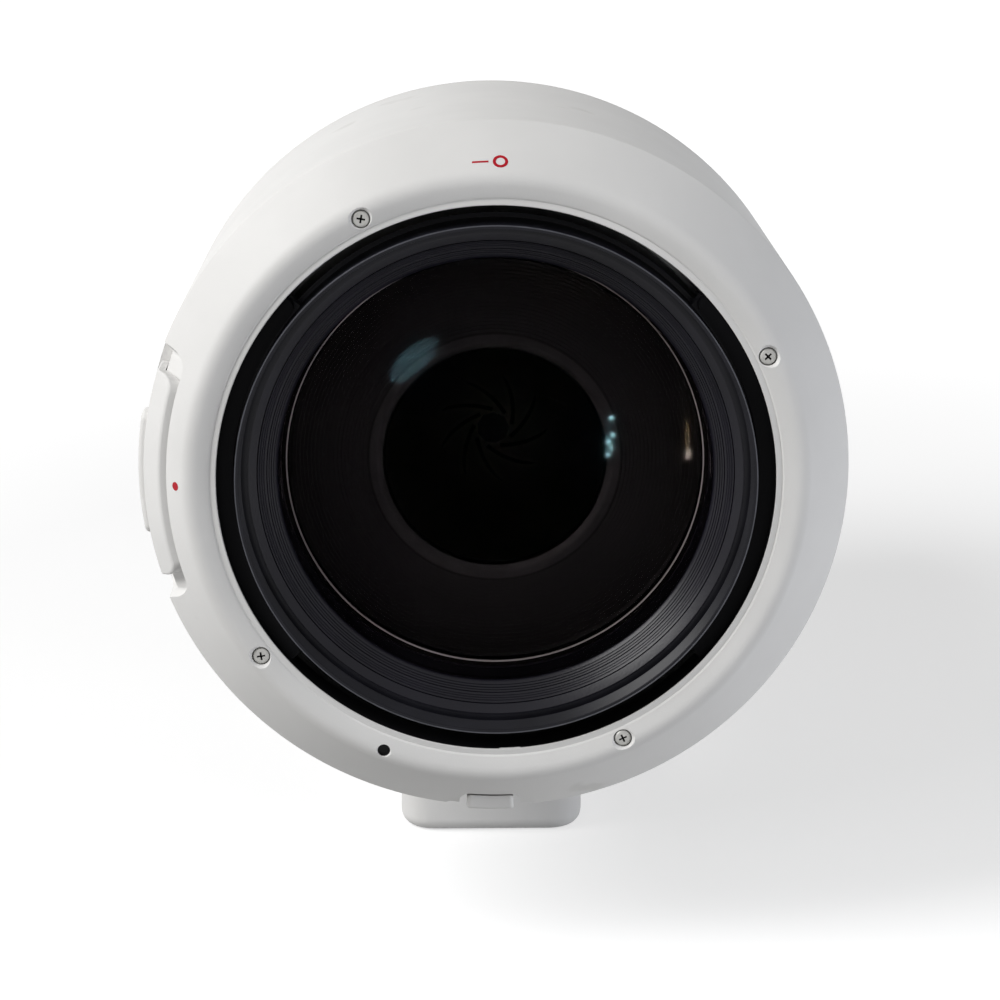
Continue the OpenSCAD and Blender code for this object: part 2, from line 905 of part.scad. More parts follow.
// Tube turned by the focus ring: three helical slots for the focusing pins, and the key
module focus_cam() {
    color("gray")
        union() {
            difference() {
                ring(fcam_r, fcam_in, z_fcam, z_fcam_end);
                for (i = [0 : 2])
                    cam_slot(pin_slot, fcam_in, fcam_r, z_fpin, focus_travel, focus_turn,
                        fpin_a + 120 * i);
            }
            ring_sector(ring_in, fcam_r - 0.5, z_fkey, z_fkey + key_len, fkey_a, key_angle / 2);
        }
}

// Cell of the focusing group
module focus_cell() {
    color("dimgray")
        difference() {
            ring(core_in - run_gap, focus_lens_r - 1, z_fcell, z_fcell + fcell_len);
            translate([0, 0, z_fcell + fcell_seat])
                cylinder(r = focus_lens_r + seat_room, h = fcell_len);
            for (i = [0 : 2])
                radial_pin(pin_r, core_in - 3, core_in + 1, fpin_a + 120 * i, z_fpin);
        }
}

module focus_lens() {
    color("lightblue", 0.5)
        lens(focus_lens_r, z_fcell + fcell_seat, 4, 1.4, 1);
}

module focus_pins() {
    color("gold")
        for (i = [0 : 2])
            radial_pin(pin_r, core_in - 3, fcam_r - 0.2, fpin_a + 120 * i, z_fpin);
}

// Stabiliser frame that slides left and right on the core web
module stabiliser_yoke() {
    z0 = z_web + web_t + 0.4;
    color("slategray")
        ring(core_in - stabiliser_travel - 1, stabiliser_lens_r + stabiliser_travel, z0, z0 + 3);
}

// Stabiliser cell that slides up and down on the frame
module stabiliser_cell() {
    z0 = z_web + web_t + 3.8;
    color("dimgray")
        difference() {
            ring(stabiliser_lens_r + 8, stabiliser_lens_r - 1, z0, z0 + 5);
            translate([0, 0, z0 + 1.2])
                cylinder(r = stabiliser_lens_r + seat_room, h = 6);
        }
}

module stabiliser_lens() {
    color("lightblue", 0.5)
        lens(stabiliser_lens_r, z_web + web_t + 5, 2.6, 1, 0.6);
}

// Rotating collar with a boss for the locking knob
module collar_ring() {
    z0 = z_collar;
    z1 = z_collar_end;
    color("whitesmoke")
        difference() {
            union() {
                rotate_extrude()
                    polygon([
                        [collar_in, z0], [collar_r - collar_edge, z0], [collar_r, z0 + collar_edge],
                        [collar_r, z1 - collar_edge], [collar_r - collar_edge, z1], [collar_in, z1]
                    ]);
                radial_pin(knob_boss_r, collar_r - 2, collar_r + knob_boss_h, knob_a, z_knob);
            }
            radial_pin(knob_screw_r + run_gap, collar_in - 2, collar_r + 4, knob_a, z_knob);
        }
}

// Locking knob and its screw
module collar_knob() {
    from = collar_r + knob_boss_h + run_gap;
    color("dimgray")
        union() {
            difference() {
                radial_pin(knob_r, from, from + knob_len, knob_a, z_knob);
                for (i = [0 : knob_ribs - 1])
                    rotate([0, 0, knob_a])
                        translate([from + 1.5, 0, z_knob])
                            rotate([i * 360 / knob_ribs, 0, 0])
                                translate([0, -knob_rib_w / 2, knob_r - 0.5])
                                    cube([knob_len - 2.5, knob_rib_w, 2]);
            }
            radial_pin(knob_screw_r, collar_in + 0.4, from + 1, knob_a, z_knob);
        }
}

// Foot plate and stalk
module tripod_foot() {
    color("whitesmoke")
        difference() {
            union() {
                intersection() {
                    translate([0, -foot_h, z_foot])
                        linear_extrude(height = foot_len)
                            foot_outline();
                    translate([0, -foot_h - 1, z_foot])
                        rotate([-90, 0, 0])
                            linear_extrude(height = foot_t + 2)
                                foot_plan();
                }
                translate([-foot_w / 2 + stalk_in, -foot_h + foot_t - 1, z_collar])
                    cube([foot_w - 2 * stalk_in, foot_h - foot_t - collar_in, z_collar_end - z_collar]);
            }
            translate([0, 0, z_seat])
                cylinder(r = collar_r, h = seat_len);
            translate([0, -foot_h - 1, z_socket])
                rotate([-90, 0, 0])
                    cylinder(r = socket_r, h = socket_depth + 1);
            translate([0, -foot_h - 1, z_socket + twist_in])
                rotate([-90, 0, 0])
                    cylinder(r = twist_r, h = twist_depth + 1);
            for (i = [0, 1])
                foot_screw_at(i, seat_room);
        }
}

// Foot seen from the front
module foot_outline() {
    r = foot_round;
    translate([-foot_w / 2, r])
        square([foot_w, foot_t - r - foot_edge]);
    translate([-foot_w / 2 + foot_edge, foot_t / 2])
        square([foot_w - 2 * foot_edge, foot_t / 2]);
    translate([-foot_w / 2 + r, 0])
        square([foot_w - 2 * r, foot_t / 2]);
    for (s = [-1, 1])
        translate([s * (foot_w / 2 - r), r])
            circle(r = r);
}

// Foot seen from above, running back from the front of the lens, with rounded corners
module foot_plan() {
    r = foot_round * 1.8;
    translate([-foot_w / 2, r - foot_len])
        square([foot_w, foot_len - 2 * r]);
    translate([-foot_w / 2 + r, -foot_len])
        square([foot_w - 2 * r, foot_len]);
    for (x = [-1, 1])
        for (y = [r - foot_len, -r])
            translate([x * (foot_w / 2 - r), y])
                circle(r = r);
}

function foot_screw_z(i) = z_seat + seat_len * (0.3 + 0.4 * i);

module foot_screw_at(i, room) {
    sink = 0.6 - room * 6 - eps;
    translate([0, -foot_h + sink, foot_screw_z(i)])
        rotate([-90, 0, 0]) {
            cylinder(r = foot_head_r + room, h = foot_head_h + room * 6);
            cylinder(r = foot_shank_r + room, h = foot_h - collar_r - 1 + room * 6);
        }
}

// Two socket screws that hold the foot
module foot_screws() {
    color("dimgray")
        difference() {
            for (i = [0, 1])
                foot_screw_at(i, 0);
            for (i = [0, 1])
                translate([0, -foot_h, foot_screw_z(i)])
                    rotate([-90, 0, 0])
                        cylinder(r = foot_hex_r, h = 2.6, $fn = 6);
        }
}

// White hood shell, front face first: lip, face, bevel and straight wall
module hood_shell() {
    color("whitesmoke")
        difference() {
            union() {
                translate([0, 0, z_front])
                    rotate_extrude()
                        polygon([
                            [mouth_r, 0], [mouth_r + lip_w, 0], [mouth_r + lip_w, -lip_h],
                            [face_r, -lip_h - 0.2], [face_r + 0.7, -lip_h - 0.55], [bevel_r0, -bevel_z0],
                            [hood_r - 0.3, -bevel_len + 0.6], [hood_r, -bevel_len - 0.8],
                            [hood_r, -hood_length + 0.8], [hood_r - 0.8, -hood_length],
                            [liner_r + 0.2, -hood_length], [liner_r, -hood_length + liner_short],
                            [liner_r, -bevel_len - liner_knee], [base_in_r, -base_t], [mouth_r, -base_t]
                        ]);
                ring_sector(mouth_r + 0.2, mouth_r - 0.6, z_front - 2.6, z_front - 0.6, nub_a, nub_half);
            }
            for (a = hood_screws_a)
                hood_screw_at(a, seat_room);
            rotate([0, 0, plug_a])
                translate([mouth_r + plug_in, 0, z_front - screw_pocket])
                    cylinder(r = plug_r, h = base_t);
            slider_groove();
            button_recess();
        }
}

// Groove and stem slot of the side slider
module slider_groove() {
    half = slider_half + slider_play + slider_room;
    rotate([0, 0, slider_a - half])
        translate([0, 0, z_front])
            rotate_extrude(angle = 2 * half)
                polygon([
                    [bevel_at(slider_d0) - groove_depth, -slider_d0],
                    [hood_r + 3, -slider_d0], [hood_r + 3, -slider_d1], [groove_floor, -slider_d1],
                    [groove_floor, -bevel_len]
                ]);
    ring_sector(hood_r, liner_r - 1, z_front - stem_d1 - run_gap, z_front - stem_d0 + run_gap, slider_a,
        stem_half + slider_play + slider_room);
}

// Thumb slider in the bevel: it follows the cone and carries a rib and a stem
module hood_slider() {
    color("whitesmoke")
        union() {
            rotate([0, 0, slider_a - slider_half])
                translate([0, 0, z_front])
                    rotate_extrude(angle = 2 * slider_half)
                        polygon([
                            [bevel_at(slider_d0) - groove_depth + slider_gap, -slider_d0 - 0.3],
                            [bevel_at(slider_d0) + slider_rise, -slider_d0 - 0.3],
                            [slider_top, -bevel_len + 1], [slider_top, -slider_d1 + 0.4],
                            [groove_floor + slider_gap, -slider_d1 + 0.4],
                            [groove_floor + slider_gap, -bevel_len - 0.2]
                        ]);
            ring_sector(slider_top + rib_rise, slider_top - 0.5, z_front - rib_d1, z_front - rib_d0, rib_a,
                rib_half);
            ring_sector(slider_top - 0.3, liner_r + run_gap, z_front - stem_d1, z_front - stem_d0, slider_a,
                stem_half);
        }
}

// Recess and opening of the release button
module button_recess() {
    rotate([0, 0, button_a]) {
        translate([hood_r - 2.2, -button_w / 2 - button_frame, z_front - button_d1 - button_frame])
            cube([6, button_w + 2 * button_frame, button_d1 - button_d0 + 2 * button_frame]);
        translate([liner_r - 1, -button_w / 2 - button_room, z_front - button_d1 - button_room])
            cube([8, button_w + 2 * button_room, button_d1 - button_d0 + 2 * button_room]);
    }
}

// Release button, pressed inward
module hood_button() {
    from = liner_r + button_stroke + 0.4;
    to = hood_r + 0.3;
    color("whitesmoke")
        rotate([0, 0, button_a])
            difference() {
                translate([from, -button_w / 2, z_front - button_d1])
                    cube([to - from, button_w, button_d1 - button_d0]);
                for (i = [0 : 3])
                    translate([to - 0.5, -button_w, z_front - button_d0 - 3 - i * 2])
                        cube([2, 2 * button_w, 0.8]);
            }
}

// Black liner: base ring with two bayonet lugs, cone and tube
module hood_liner() {
    color("black")
        union() {
            translate([0, 0, z_front])
                rotate_extrude()
                    polygon([
                        [mouth_r, -base_t], [base_in_r, -base_t], [liner_r, -bevel_len - liner_knee],
                        [liner_r, -hood_length + liner_short], [liner_in, -hood_length + liner_short],
                        [liner_in, -bevel_len - liner_knee - 1], [mouth_r + 3, -base_t - liner_base],
                        [mouth_r, -base_t - liner_base]
                    ]);
            for (a = [0, 180])
                ring_sector(mouth_r + 0.4, hood_lug_in, z_front - base_t - hood_lug_t, z_front - base_t,
                    a, lug_angle / 2);
        }
}

module hood_screw_at(a, room) {
    rotate([0, 0, a])
        translate([mouth_r + screw_in, 0, z_front - base_t]) {
            translate([0, 0, base_t - screw_pocket])
                cylinder(r = screw_head_r + room * 3, h = 1 + room * 20);
            cylinder(r = screw_shank_r + room, h = base_t - 1);
        }
}

// Four cross-head screws in the face of the hood
module hood_screws() {
    color("dimgray")
        difference() {
            for (a = hood_screws_a)
                hood_screw_at(a, 0);
            for (a = hood_screws_a)
                rotate([0, 0, a])
                    translate([mouth_r + screw_in, 0, z_front - 0.6])
                        for (b = [20, 110])
                            rotate([0, 0, b])
                                cube([2, cross_w, 1], center = true);
        }
}

lens_frame() mount_plate();
lens_frame() mount_screws();
lens_frame() mount_gasket();
lens_frame() contact_block();
lens_frame() contact_pins();
lens_frame() rear_barrel();
lens_frame() switch_panel();
lens_frame() main_sleeve();
lens_frame() index_ring();
lens_frame() nose_ring();
lens_frame() guide_tube();
lens_frame() core_tube();
lens_frame() circuit_ring();
lens_frame() focus_motor();
lens_frame() rear_lens();
lens_frame() iris_base();
lens_frame() zoom_ring();
lens_frame() zoom_grip();
lens_frame() cam_tube();
lens_frame() front_tube();
lens_frame() front_rollers();
lens_frame() front_ring();
lens_frame() front_retainer();
lens_frame() front_lens();
lens_frame() second_lens();
lens_frame() variator_carrier();
lens_frame() variator_lens();
lens_frame() variator_rollers();
lens_frame() iris_ring();
lens_frame() blade_1();
lens_frame() blade_2();
lens_frame() blade_3();
lens_frame() blade_4();
lens_frame() blade_5();
lens_frame() blade_6();
lens_frame() blade_7();
lens_frame() blade_8();
lens_frame() blade_9();
lens_frame() focus_ring();
lens_frame() focus_grip();
lens_frame() focus_cam();
lens_frame() focus_cell();
lens_frame() focus_lens();
lens_frame() focus_pins();
lens_frame() stabiliser_yoke();
lens_frame() stabiliser_cell();
lens_frame() stabiliser_lens();
lens_frame() collar_ring();
lens_frame() tripod_foot();
lens_frame() foot_screws();
lens_frame() collar_knob();
lens_frame() hood_shell();
lens_frame() hood_liner();
lens_frame() hood_screws();
lens_frame() hood_slider();
lens_frame() hood_button();
lens_frame() focus_mode_switch();
lens_frame() stabiliser_switch();
lens_frame() stabiliser_mode_switch();
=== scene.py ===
from math import atan2, cos, degrees, hypot, pi, radians, sin, sqrt, tan

import bmesh
import bpy
from mathutils import Matrix, Vector


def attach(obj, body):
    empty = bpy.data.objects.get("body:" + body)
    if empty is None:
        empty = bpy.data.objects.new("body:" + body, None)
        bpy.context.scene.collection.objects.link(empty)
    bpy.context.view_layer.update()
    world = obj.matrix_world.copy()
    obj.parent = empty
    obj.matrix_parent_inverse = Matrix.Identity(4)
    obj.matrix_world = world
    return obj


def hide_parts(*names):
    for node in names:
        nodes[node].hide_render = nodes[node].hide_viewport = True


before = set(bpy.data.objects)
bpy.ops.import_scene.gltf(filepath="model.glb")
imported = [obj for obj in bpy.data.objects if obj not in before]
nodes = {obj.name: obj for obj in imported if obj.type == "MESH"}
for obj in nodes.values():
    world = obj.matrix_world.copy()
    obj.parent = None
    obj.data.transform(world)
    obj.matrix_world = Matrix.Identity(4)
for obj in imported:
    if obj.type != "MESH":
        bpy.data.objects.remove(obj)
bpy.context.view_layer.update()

# Camera mount: a turned brass flange with a short spigot behind it and three bayonet lugs, plated with
# satin chrome. Four countersunk screws hold it to the rear barrel, and a rubber ring keeps dust out.
# Sizes here and below are in mm: radius, angle seen from the front, and height forward of the flange.


def at(r, deg, z):
    return Vector((r * cos(radians(deg)), -z, r * sin(radians(deg)))) * 0.001


def rounded(corners):
    """Outline whose corners (r, z, radius) are arcs; a corner with no radius stays sharp."""
    out = []
    for i, corner in enumerate(corners):
        p = Vector(corner[:2])
        u = Vector(corners[i - 1][:2]) - p
        v = Vector(corners[(i + 1) % len(corners)][:2]) - p
        angle = u.angle(v)
        if len(corner) < 3 or angle > 3.1:
            out.append(p)
            continue
        reach = min(corner[2] / tan(angle / 2), 0.48 * u.length, 0.48 * v.length)
        u, v = u.normalized(), v.normalized()
        size = reach * tan(angle / 2)
        centre = p + (u + v).normalized() * size / sin(angle / 2)
        first, last = p + u * reach - centre, p + v * reach - centre
        count = max(2, round((pi - angle) / 0.25))
        out += [centre + first.slerp(last, k / count).normalized() * size for k in range(count + 1)]
    return out


def turned(corners, steps=256):
    """Closed outline spun round the optical axis."""
    bm = bmesh.new()
    verts = [bm.verts.new(at(p[0], 0, p[1])) for p in rounded(corners)]
    edges = [bm.edges.new(pair) for pair in zip(verts, verts[1:] + verts[:1])
             if max(hypot(v.co.x, v.co.z) for v in pair) > 1e-9]
    bmesh.ops.spin(bm, geom=verts + edges, cent=(0, 0, 0), axis=(0, -1, 0), angle=2 * pi, steps=steps,
                   use_merge=True)
    bmesh.ops.remove_doubles(bm, verts=bm.verts, dist=1e-7)
    bmesh.ops.dissolve_degenerate(bm, edges=bm.edges, dist=1e-7)
    bmesh.ops.recalc_face_normals(bm, faces=bm.faces)
    return bm


def second_side(bm):
    """Gives a sheet walls and a second side; returns the vertices of that side, not yet moved."""
    made = bmesh.ops.extrude_face_region(bm, geom=bm.faces[:])["geom"]
    return [e for e in made if isinstance(e, bmesh.types.BMVert)]


def moved(bm, place):
    """The same mesh, shifted."""
    bmesh.ops.translate(bm, verts=bm.verts, vec=place)
    return bm


def sector(r_in, r_out, deg, half, z0, z1, corner=0.0, cells=48):
    """Part of a ring centred on an angle, with its inner corners rounded."""
    bm = bmesh.new()
    bmesh.ops.create_grid(bm, x_segments=cells, y_segments=1, size=1)
    arc = radians(half) * r_in
    for v in bm.verts:
        s = sin(v.co.x * pi / 2) * arc
        beyond = max(0.0, abs(s) - arc + corner)
        low = r_in + corner - sqrt(max(0.0, corner ** 2 - beyond ** 2))
        v.co = at(low if v.co.y < 0 else r_out, deg + degrees(s / r_in), z0)
    bmesh.ops.translate(bm, verts=second_side(bm), vec=(0, (z0 - z1) * 0.001, 0))
    bmesh.ops.recalc_face_normals(bm, faces=bm.faces)
    return bm


def joined(*parts):
    """Several meshes as one."""
    out = bmesh.new()
    for bm in parts:
        mesh = bpy.data.meshes.new("part")
        bm.to_mesh(mesh)
        bm.free()
        out.from_mesh(mesh)
        bpy.data.meshes.remove(mesh)
    return out


def carve(bm, *cutters, operation="DIFFERENCE"):
    """A closed mesh with closed cutters taken away from it, or added to it."""
    objects = []
    for source in (bm, *cutters):
        mesh = bpy.data.meshes.new("blank")
        source.to_mesh(mesh)
        source.free()
        objects.append(bpy.data.objects.new("blank", mesh))
        bpy.context.scene.collection.objects.link(objects[-1])
    for cutter in objects[1:]:
        cut = objects[0].modifiers.new("cut", "BOOLEAN")
        cut.operation, cut.solver, cut.object = operation, "MANIFOLD", cutter
    bpy.context.view_layer.update()
    result = bpy.data.meshes.new_from_object(objects[0].evaluated_get(bpy.context.evaluated_depsgraph_get()))
    out = bmesh.new()
    out.from_mesh(result)
    bpy.data.meshes.remove(result)
    for o in objects:
        bpy.data.meshes.remove(o.data)
    return out


def piece(bm, name, material, body, slot, *replaced):
    """Finished object: smooth faces with the sharp edges kept, its material, the body it rides on."""
    bmesh.ops.remove_doubles(bm, verts=bm.verts, dist=2e-7)
    bmesh.ops.recalc_face_normals(bm, faces=bm.faces)
    for f in bm.faces:
        f.smooth = True
    sharp = radians(28)
    for e in bm.edges:
        e.smooth = e.calc_face_angle(0) < sharp
    mesh = bpy.data.meshes.new(name)
    bm.to_mesh(mesh)
    bm.free()
    obj = bpy.data.objects.new(name, mesh)
    bpy.context.scene.collection.objects.link(obj)
    mesh.materials.append(material)
    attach(obj, body)
    if replaced:
        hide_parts(*replaced)
    return obj


def rgb(code):
    """Linear colour of an sRGB hex code."""
    parts = [int(code[i:i + 2], 16) / 255 for i in (1, 3, 5)]
    return [c / 12.92 if c <= 0.04045 else ((c + 0.055) / 1.055) ** 2.4 for c in parts] + [1]


def node(material, kind, links=None, **settings):
    """Adds a shader node, sets its options and sockets and links its inputs."""
    n = material.node_tree.nodes.new("ShaderNode" + kind)
    for key, value in settings.items():
        if hasattr(n, key):
            setattr(n, key, value)
        else:
            n.inputs[key.replace("_", " ")].default_value = value
    for key, source in (links or {}).items():
        material.node_tree.links.new(source, n.inputs[key])
    return n


def finish(name, low, high, size, rough, metal=0.0, level=0.5, grain=0.0, grain_size=0.3, rings=0.0,
           worn=None):
    """Principled surface that drifts between two colours over size mm, with a fine grain in its relief.
    rings sets the pitch in mm of the tool marks that a lathe leaves; worn is the colour of rare scuffs."""
    m = bpy.data.materials.new(name)
    m.use_nodes = True
    m.node_tree.nodes.clear()
    place = node(m, "TexCoord").outputs["Object"]
    drift = node(m, "TexNoise", {"Vector": place}, Scale=1000 / size, Detail=3.0)
    tone = node(m, "ValToRGB", {"Fac": drift.outputs["Fac"]})
    tone.color_ramp.elements[0].position, tone.color_ramp.elements[1].position = 0.35, 0.65
    tone.color_ramp.elements[0].color, tone.color_ramp.elements[1].color = rgb(low), rgb(high)
    if worn:
        tone.color_ramp.elements.new(0.7).color = rgb(high)
        tone.color_ramp.elements.new(0.75).color = rgb(worn)
    gloss = node(m, "MapRange", {"Value": drift.outputs["Fac"]}, To_Min=rough * 0.9, To_Max=rough * 1.1)
    links = {"Base Color": tone.outputs["Color"], "Roughness": gloss.outputs["Result"]}
    if rings:
        relief = node(m, "TexWave", {"Vector": place}, wave_type="RINGS", rings_direction="Y",
                      Scale=1000 / rings / 6.283, Distortion=0.4, Detail=1.0)
    else:
        relief = node(m, "TexNoise", {"Vector": place}, Scale=1000 / grain_size, Detail=2.0)
    if grain:
        bump = node(m, "Bump", {"Height": relief.outputs["Fac"]}, Strength=grain, Distance=0.0001)
        links["Normal"] = bump.outputs["Normal"]
    shader = node(m, "BsdfPrincipled", links, Metallic=metal, Specular_IOR_Level=level)
    node(m, "OutputMaterial", {"Surface": shader.outputs["BSDF"]})
    return m


# Satin chrome: bright but soft, with the rings of the lathe in it.
chrome = finish("satin_chrome", "#b9b8b4", "#c9c8c4", 8, 0.24, metal=1.0, grain=0.12, rings=0.35)
# Zinc plated screw steel: a little darker than the chrome.
screw_steel = finish("zinc_plated_steel", "#a8a7a3", "#bdbcb8", 1.5, 0.34, metal=0.85, grain=0.1)
# Painted shade for the floor of a screw's cross recess: near black and dull.
painted_recess_shade = finish("painted_recess_shade", "#0c0c0c", "#141414", 0.5, 0.8, level=0.1)
# Black rubber: no shine, a dusty bloom.
rubber = finish("black_rubber", "#161617", "#1d1d1e", 6, 0.72, level=0.3, grain=0.25, grain_size=0.25)

bayonet = turned([(20.5, -5.5, 0.4), (25.4, -5.5, 0.3), (25.4, 0, 0.15), (34, 0, 0.25), (34, 3), (24, 3),
                  (24, -2.6, 0.3), (20.5, -2.6, 0.4)])
lugs = [sector(21.5, 27.4, a, 26, -5.5, -3.7) for a in (30, 150, 270)]
screw_circle, screw_angles = 29.7, (45, 135, 225, 315)
sink = [(0, -1), (2.75, -1), (1.95, 0.02), (1.0, 1.15), (1.0, 4), (0, 4)]
sinks = [moved(turned(sink, 40), at(screw_circle, a, 0)) for a in screw_angles]
pocket = sector(21.6, 24.5, 270, 30, -6, -3)
bayonet = carve(carve(bayonet, *lugs, operation="UNION"), pocket, *sinks)
piece(bayonet, "mount_bayonet", chrome, "barrel", "mount_metal", "mount_plate")


def cross(head_r, deep, turn):
    """The tapered cross that a driver fits in, centred on the top of a head."""
    arms = []
    for k in (0, 90):
        arm = bmesh.new()
        bmesh.ops.create_cube(arm, size=1)
        for v in arm.verts:
            long, wide = (0.8, 0.17) if v.co.y * deep > 0 else (1.2, 0.29)
            v.co = (v.co.x * head_r * long, v.co.y * 2 * abs(deep), v.co.z * head_r * wide)
        bmesh.ops.scale(arm, verts=arm.verts, vec=(0.001, 0.001, 0.001))
        bmesh.ops.rotate(arm, verts=arm.verts, matrix=Matrix.Rotation(radians(turn + k), 3, "Y"))
        arms.append(arm)
    return arms


def cross_screw(head_r, head, r, deg, z, deep, turn):
    """Cross-head screw with its head outline given from the axis out, and a dark sheet of painted shade on
    its recess floor.
    """
    screw = carve(turned(head, 56), *cross(head_r, deep, turn))
    recess_shade = joined(*cross(head_r * 0.9, deep * 0.1, turn))
    moved(recess_shade, (0, deep * 0.0003, 0))
    return moved(screw, at(r, deg, z)), moved(recess_shade, at(r, deg, z))


sunk_head = [(0, 0), (1.8, 0, 0.1), (1.0, 1.1), (0.9, 5.8), (0, 5.8)]
screws, recess_shade = zip(*(cross_screw(1.8, sunk_head, screw_circle, a, 0.02, -0.7, a + 15) for a in screw_angles))
piece(joined(*screws), "mount_screw_set", screw_steel, "barrel", "screw_steel", "mount_screws")
# The dark sheets in the cross recesses are painted shade.
piece(joined(*recess_shade), "mount_screw_recesses", painted_recess_shade, "barrel", "screw_steel")
dust_ring = turned([(34, 0.2), (34.75, 0.2, 0.35), (35, 1, 0.3), (35, 3), (34, 3)])
piece(dust_ring, "mount_dust_ring", rubber, "barrel", "rubber", "mount_gasket")

# Contacts: a black moulded block let into the spigot end with a row of gold plated pins.
# The moulding is plain; each pin ends in a small dome.
# Moulded black polymer: slightly blue, satin, faint moulding texture.
black_moulding = finish("moulded_black_polymer", "#101012", "#151517", 5, 0.55, level=0.05, grain=0.08)
gold = finish("gold_plating", "#c99a45", "#d8ad5a", 1, 0.22, metal=1.0)
contacts = sector(21.6, 24.5, 270, 29.6, -5.5, -3)
piece(contacts, "contact_moulding", black_moulding, "barrel", "black_plastic", "contact_block")
pin = [(0, -5.78), (0.65, -5.74, 0.25), (0.65, -3.8), (0, -3.8)]
pins = [moved(turned(pin, 32), at(23.05, 270 + (i - 4.5) * 5, 0)) for i in range(10)]
piece(joined(*pins), "contact_pin_row", gold, "barrel", "brass", "contact_pins")

# Rear barrel: one alloy casting, machined and painted, with a tapered tail, the switch section and the lower
# seat that the collar turns on. A red bead near the mount shows where the lens meets the camera.
# White enamel: warm off-white, satin, with the faint orange peel of sprayed paint and a few dull scuffs.
white_enamel = finish("white_enamel", "#e0dfdd", "#e4e3e1", 14, 0.45, level=0.12, grain=0.12,
                      grain_size=0.28, worn="#dad9d6")
barrel = turned([(24, 3), (35, 3, 0.2), (36.4, 4.6, 1), (41.3, 18, 8), (42.1, 24, 6), (42.6, 32, 6),
                 (42.6, 50, 0.4), (41.6, 50, 0.1), (41.6, 80, 0.3), (40.5, 80), (40.5, 23), (31.5, 11),
                 (31.5, 8), (24, 8)])
piece(barrel, "rear_barrel_casting", white_enamel, "barrel", "white_paint", "rear_barrel")
# Red enamel: satin, filled into a drilled spot or printed.
red_enamel = finish("red_enamel", "#ab0c20", "#b51226", 2, 0.4, level=0.2, grain=0.03)
bead = bmesh.new()
bmesh.ops.create_uvsphere(bead, u_segments=32, v_segments=16, radius=0.0016)
flattened = Matrix.Translation(at(37.2, 90, 8)) @ Matrix.Diagonal((1, 1, 0.5, 1))
bmesh.ops.transform(bead, verts=bead.verts, matrix=flattened)
piece(bead, "mount_index_bead", red_enamel, "barrel", "white_paint")

# Switch panel: a grey moulded plate glued on the right side of the barrel, with three slots.
# A ribbed slide moves in each slot, front to back; white ticks mark the two places of a slide.


def pad(deg, half, z0, z1, top, floor, corner=0.0, edge=0.0, cells=(56, 28)):
    """Plate bent round the axis, with rounded corners and a rounded top edge.
    top and floor give its radius at a height; half is its half angle."""
    bm = bmesh.new()
    bmesh.ops.create_grid(bm, x_segments=cells[0], y_segments=cells[1], size=1)
    mid, long = (z0 + z1) / 2, (z1 - z0) / 2
    mean = top(mid)
    arc = radians(half) * mean
    corner = min(corner, long * 0.98)
    for v in bm.verts:
        s, w = sin(v.co.x * pi / 2) * arc, sin(v.co.y * pi / 2)
        beyond = max(0.0, abs(s) - arc + corner)
        reach = long - corner + sqrt(max(0.0, corner ** 2 - beyond ** 2))
        z = mid + w * reach
        q = max(0.0, abs(s) - arc + corner), max(0.0, abs(z - mid) - long + corner)
        inside = corner - hypot(*q) if min(q) > 0 else min(arc - abs(s), long - abs(z - mid))
        lack = max(0.0, edge - max(0.0, inside))
        drop = edge - sqrt(max(0.0, edge ** 2 - lack ** 2))
        v.co = at(top(z) - drop, deg + degrees(s / mean), z)
    for v in second_side(bm):
        k = floor(-v.co.y * 1000) * 0.001 / hypot(v.co.x, v.co.z)
        v.co.x, v.co.z = v.co.x * k, v.co.z * k
    bmesh.ops.recalc_face_normals(bm, faces=bm.faces)
    return bm


def flat(r):
    return lambda z: r


panel_grey = finish("dark_grey_moulding", "#3a3b3e", "#424347", 5, 0.5, level=0.3, grain=0.1)
slide_grey = finish("light_grey_moulding", "#a9aaac", "#b3b4b6", 3, 0.42, grain=0.06)
tick_white = finish("white_print", "#d9d9d6", "#e2e2df", 2, 0.55)
panel = pad(0, 19.5, 24, 49, flat(43.8), flat(41.9), 2.2, 0.35)
slots = [pad(a, degrees(2.3 / 43), 32.2, 40.8, flat(46), flat(42.75), 0.5, 0, (24, 12)) for a in (-11, 0, 11)]
piece(carve(panel, *slots), "switch_plate", panel_grey, "barrel", "grey_plastic", "switch_panel")


def ribbed_top(z):
    return 44.55 + 0.25 * cos((z - 38) * 5.24)


for body, replaced, a in (("switch_focus", "focus_mode_switch", 11),
                          ("switch_stabiliser", "stabiliser_switch", 0),
                          ("switch_mode", "stabiliser_mode_switch", -11)):
    slide = pad(a, degrees(2 / 44.5), 35.5, 40.5, ribbed_top, flat(42.9), 0.5, 0.25, (32, 80))
    piece(slide, body + "_slide", slide_grey, body, "grey_plastic", replaced)
    ticks = [pad(a + s * 4.6, 0.55, z - 0.25, z + 0.25, flat(43.83), flat(43.7), cells=(6, 4))
             for s in (-1, 1) for z in (35, 38)]
    piece(joined(*ticks), body + "_ticks", tick_white, "barrel", "grey_plastic")

# Inner structure: turned alloy tubes, some of them blackened, that nest in each other, with a ring motor and
# a circuit board behind. Only slivers of them show, through the glass and under the rings.
# Black anodised alloy: bluish black, with fine turning marks.
black_anodised = finish("black_anodised_alloy", "#131318", "#19191f", 6, 0.34, level=0.16, grain=0.08,
                        rings=0.5)
# Bare alloy: grey, with a soft shine.
alloy = finish("turned_alloy", "#8d8e90", "#9a9b9d", 8, 0.36, metal=0.9, grain=0.1, rings=0.4)
# Baffle paint: the dead black inside a lens.
baffle_black = finish("matt_baffle_paint", "#090808", "#0d0c0b", 4, 0.7, level=0.06)
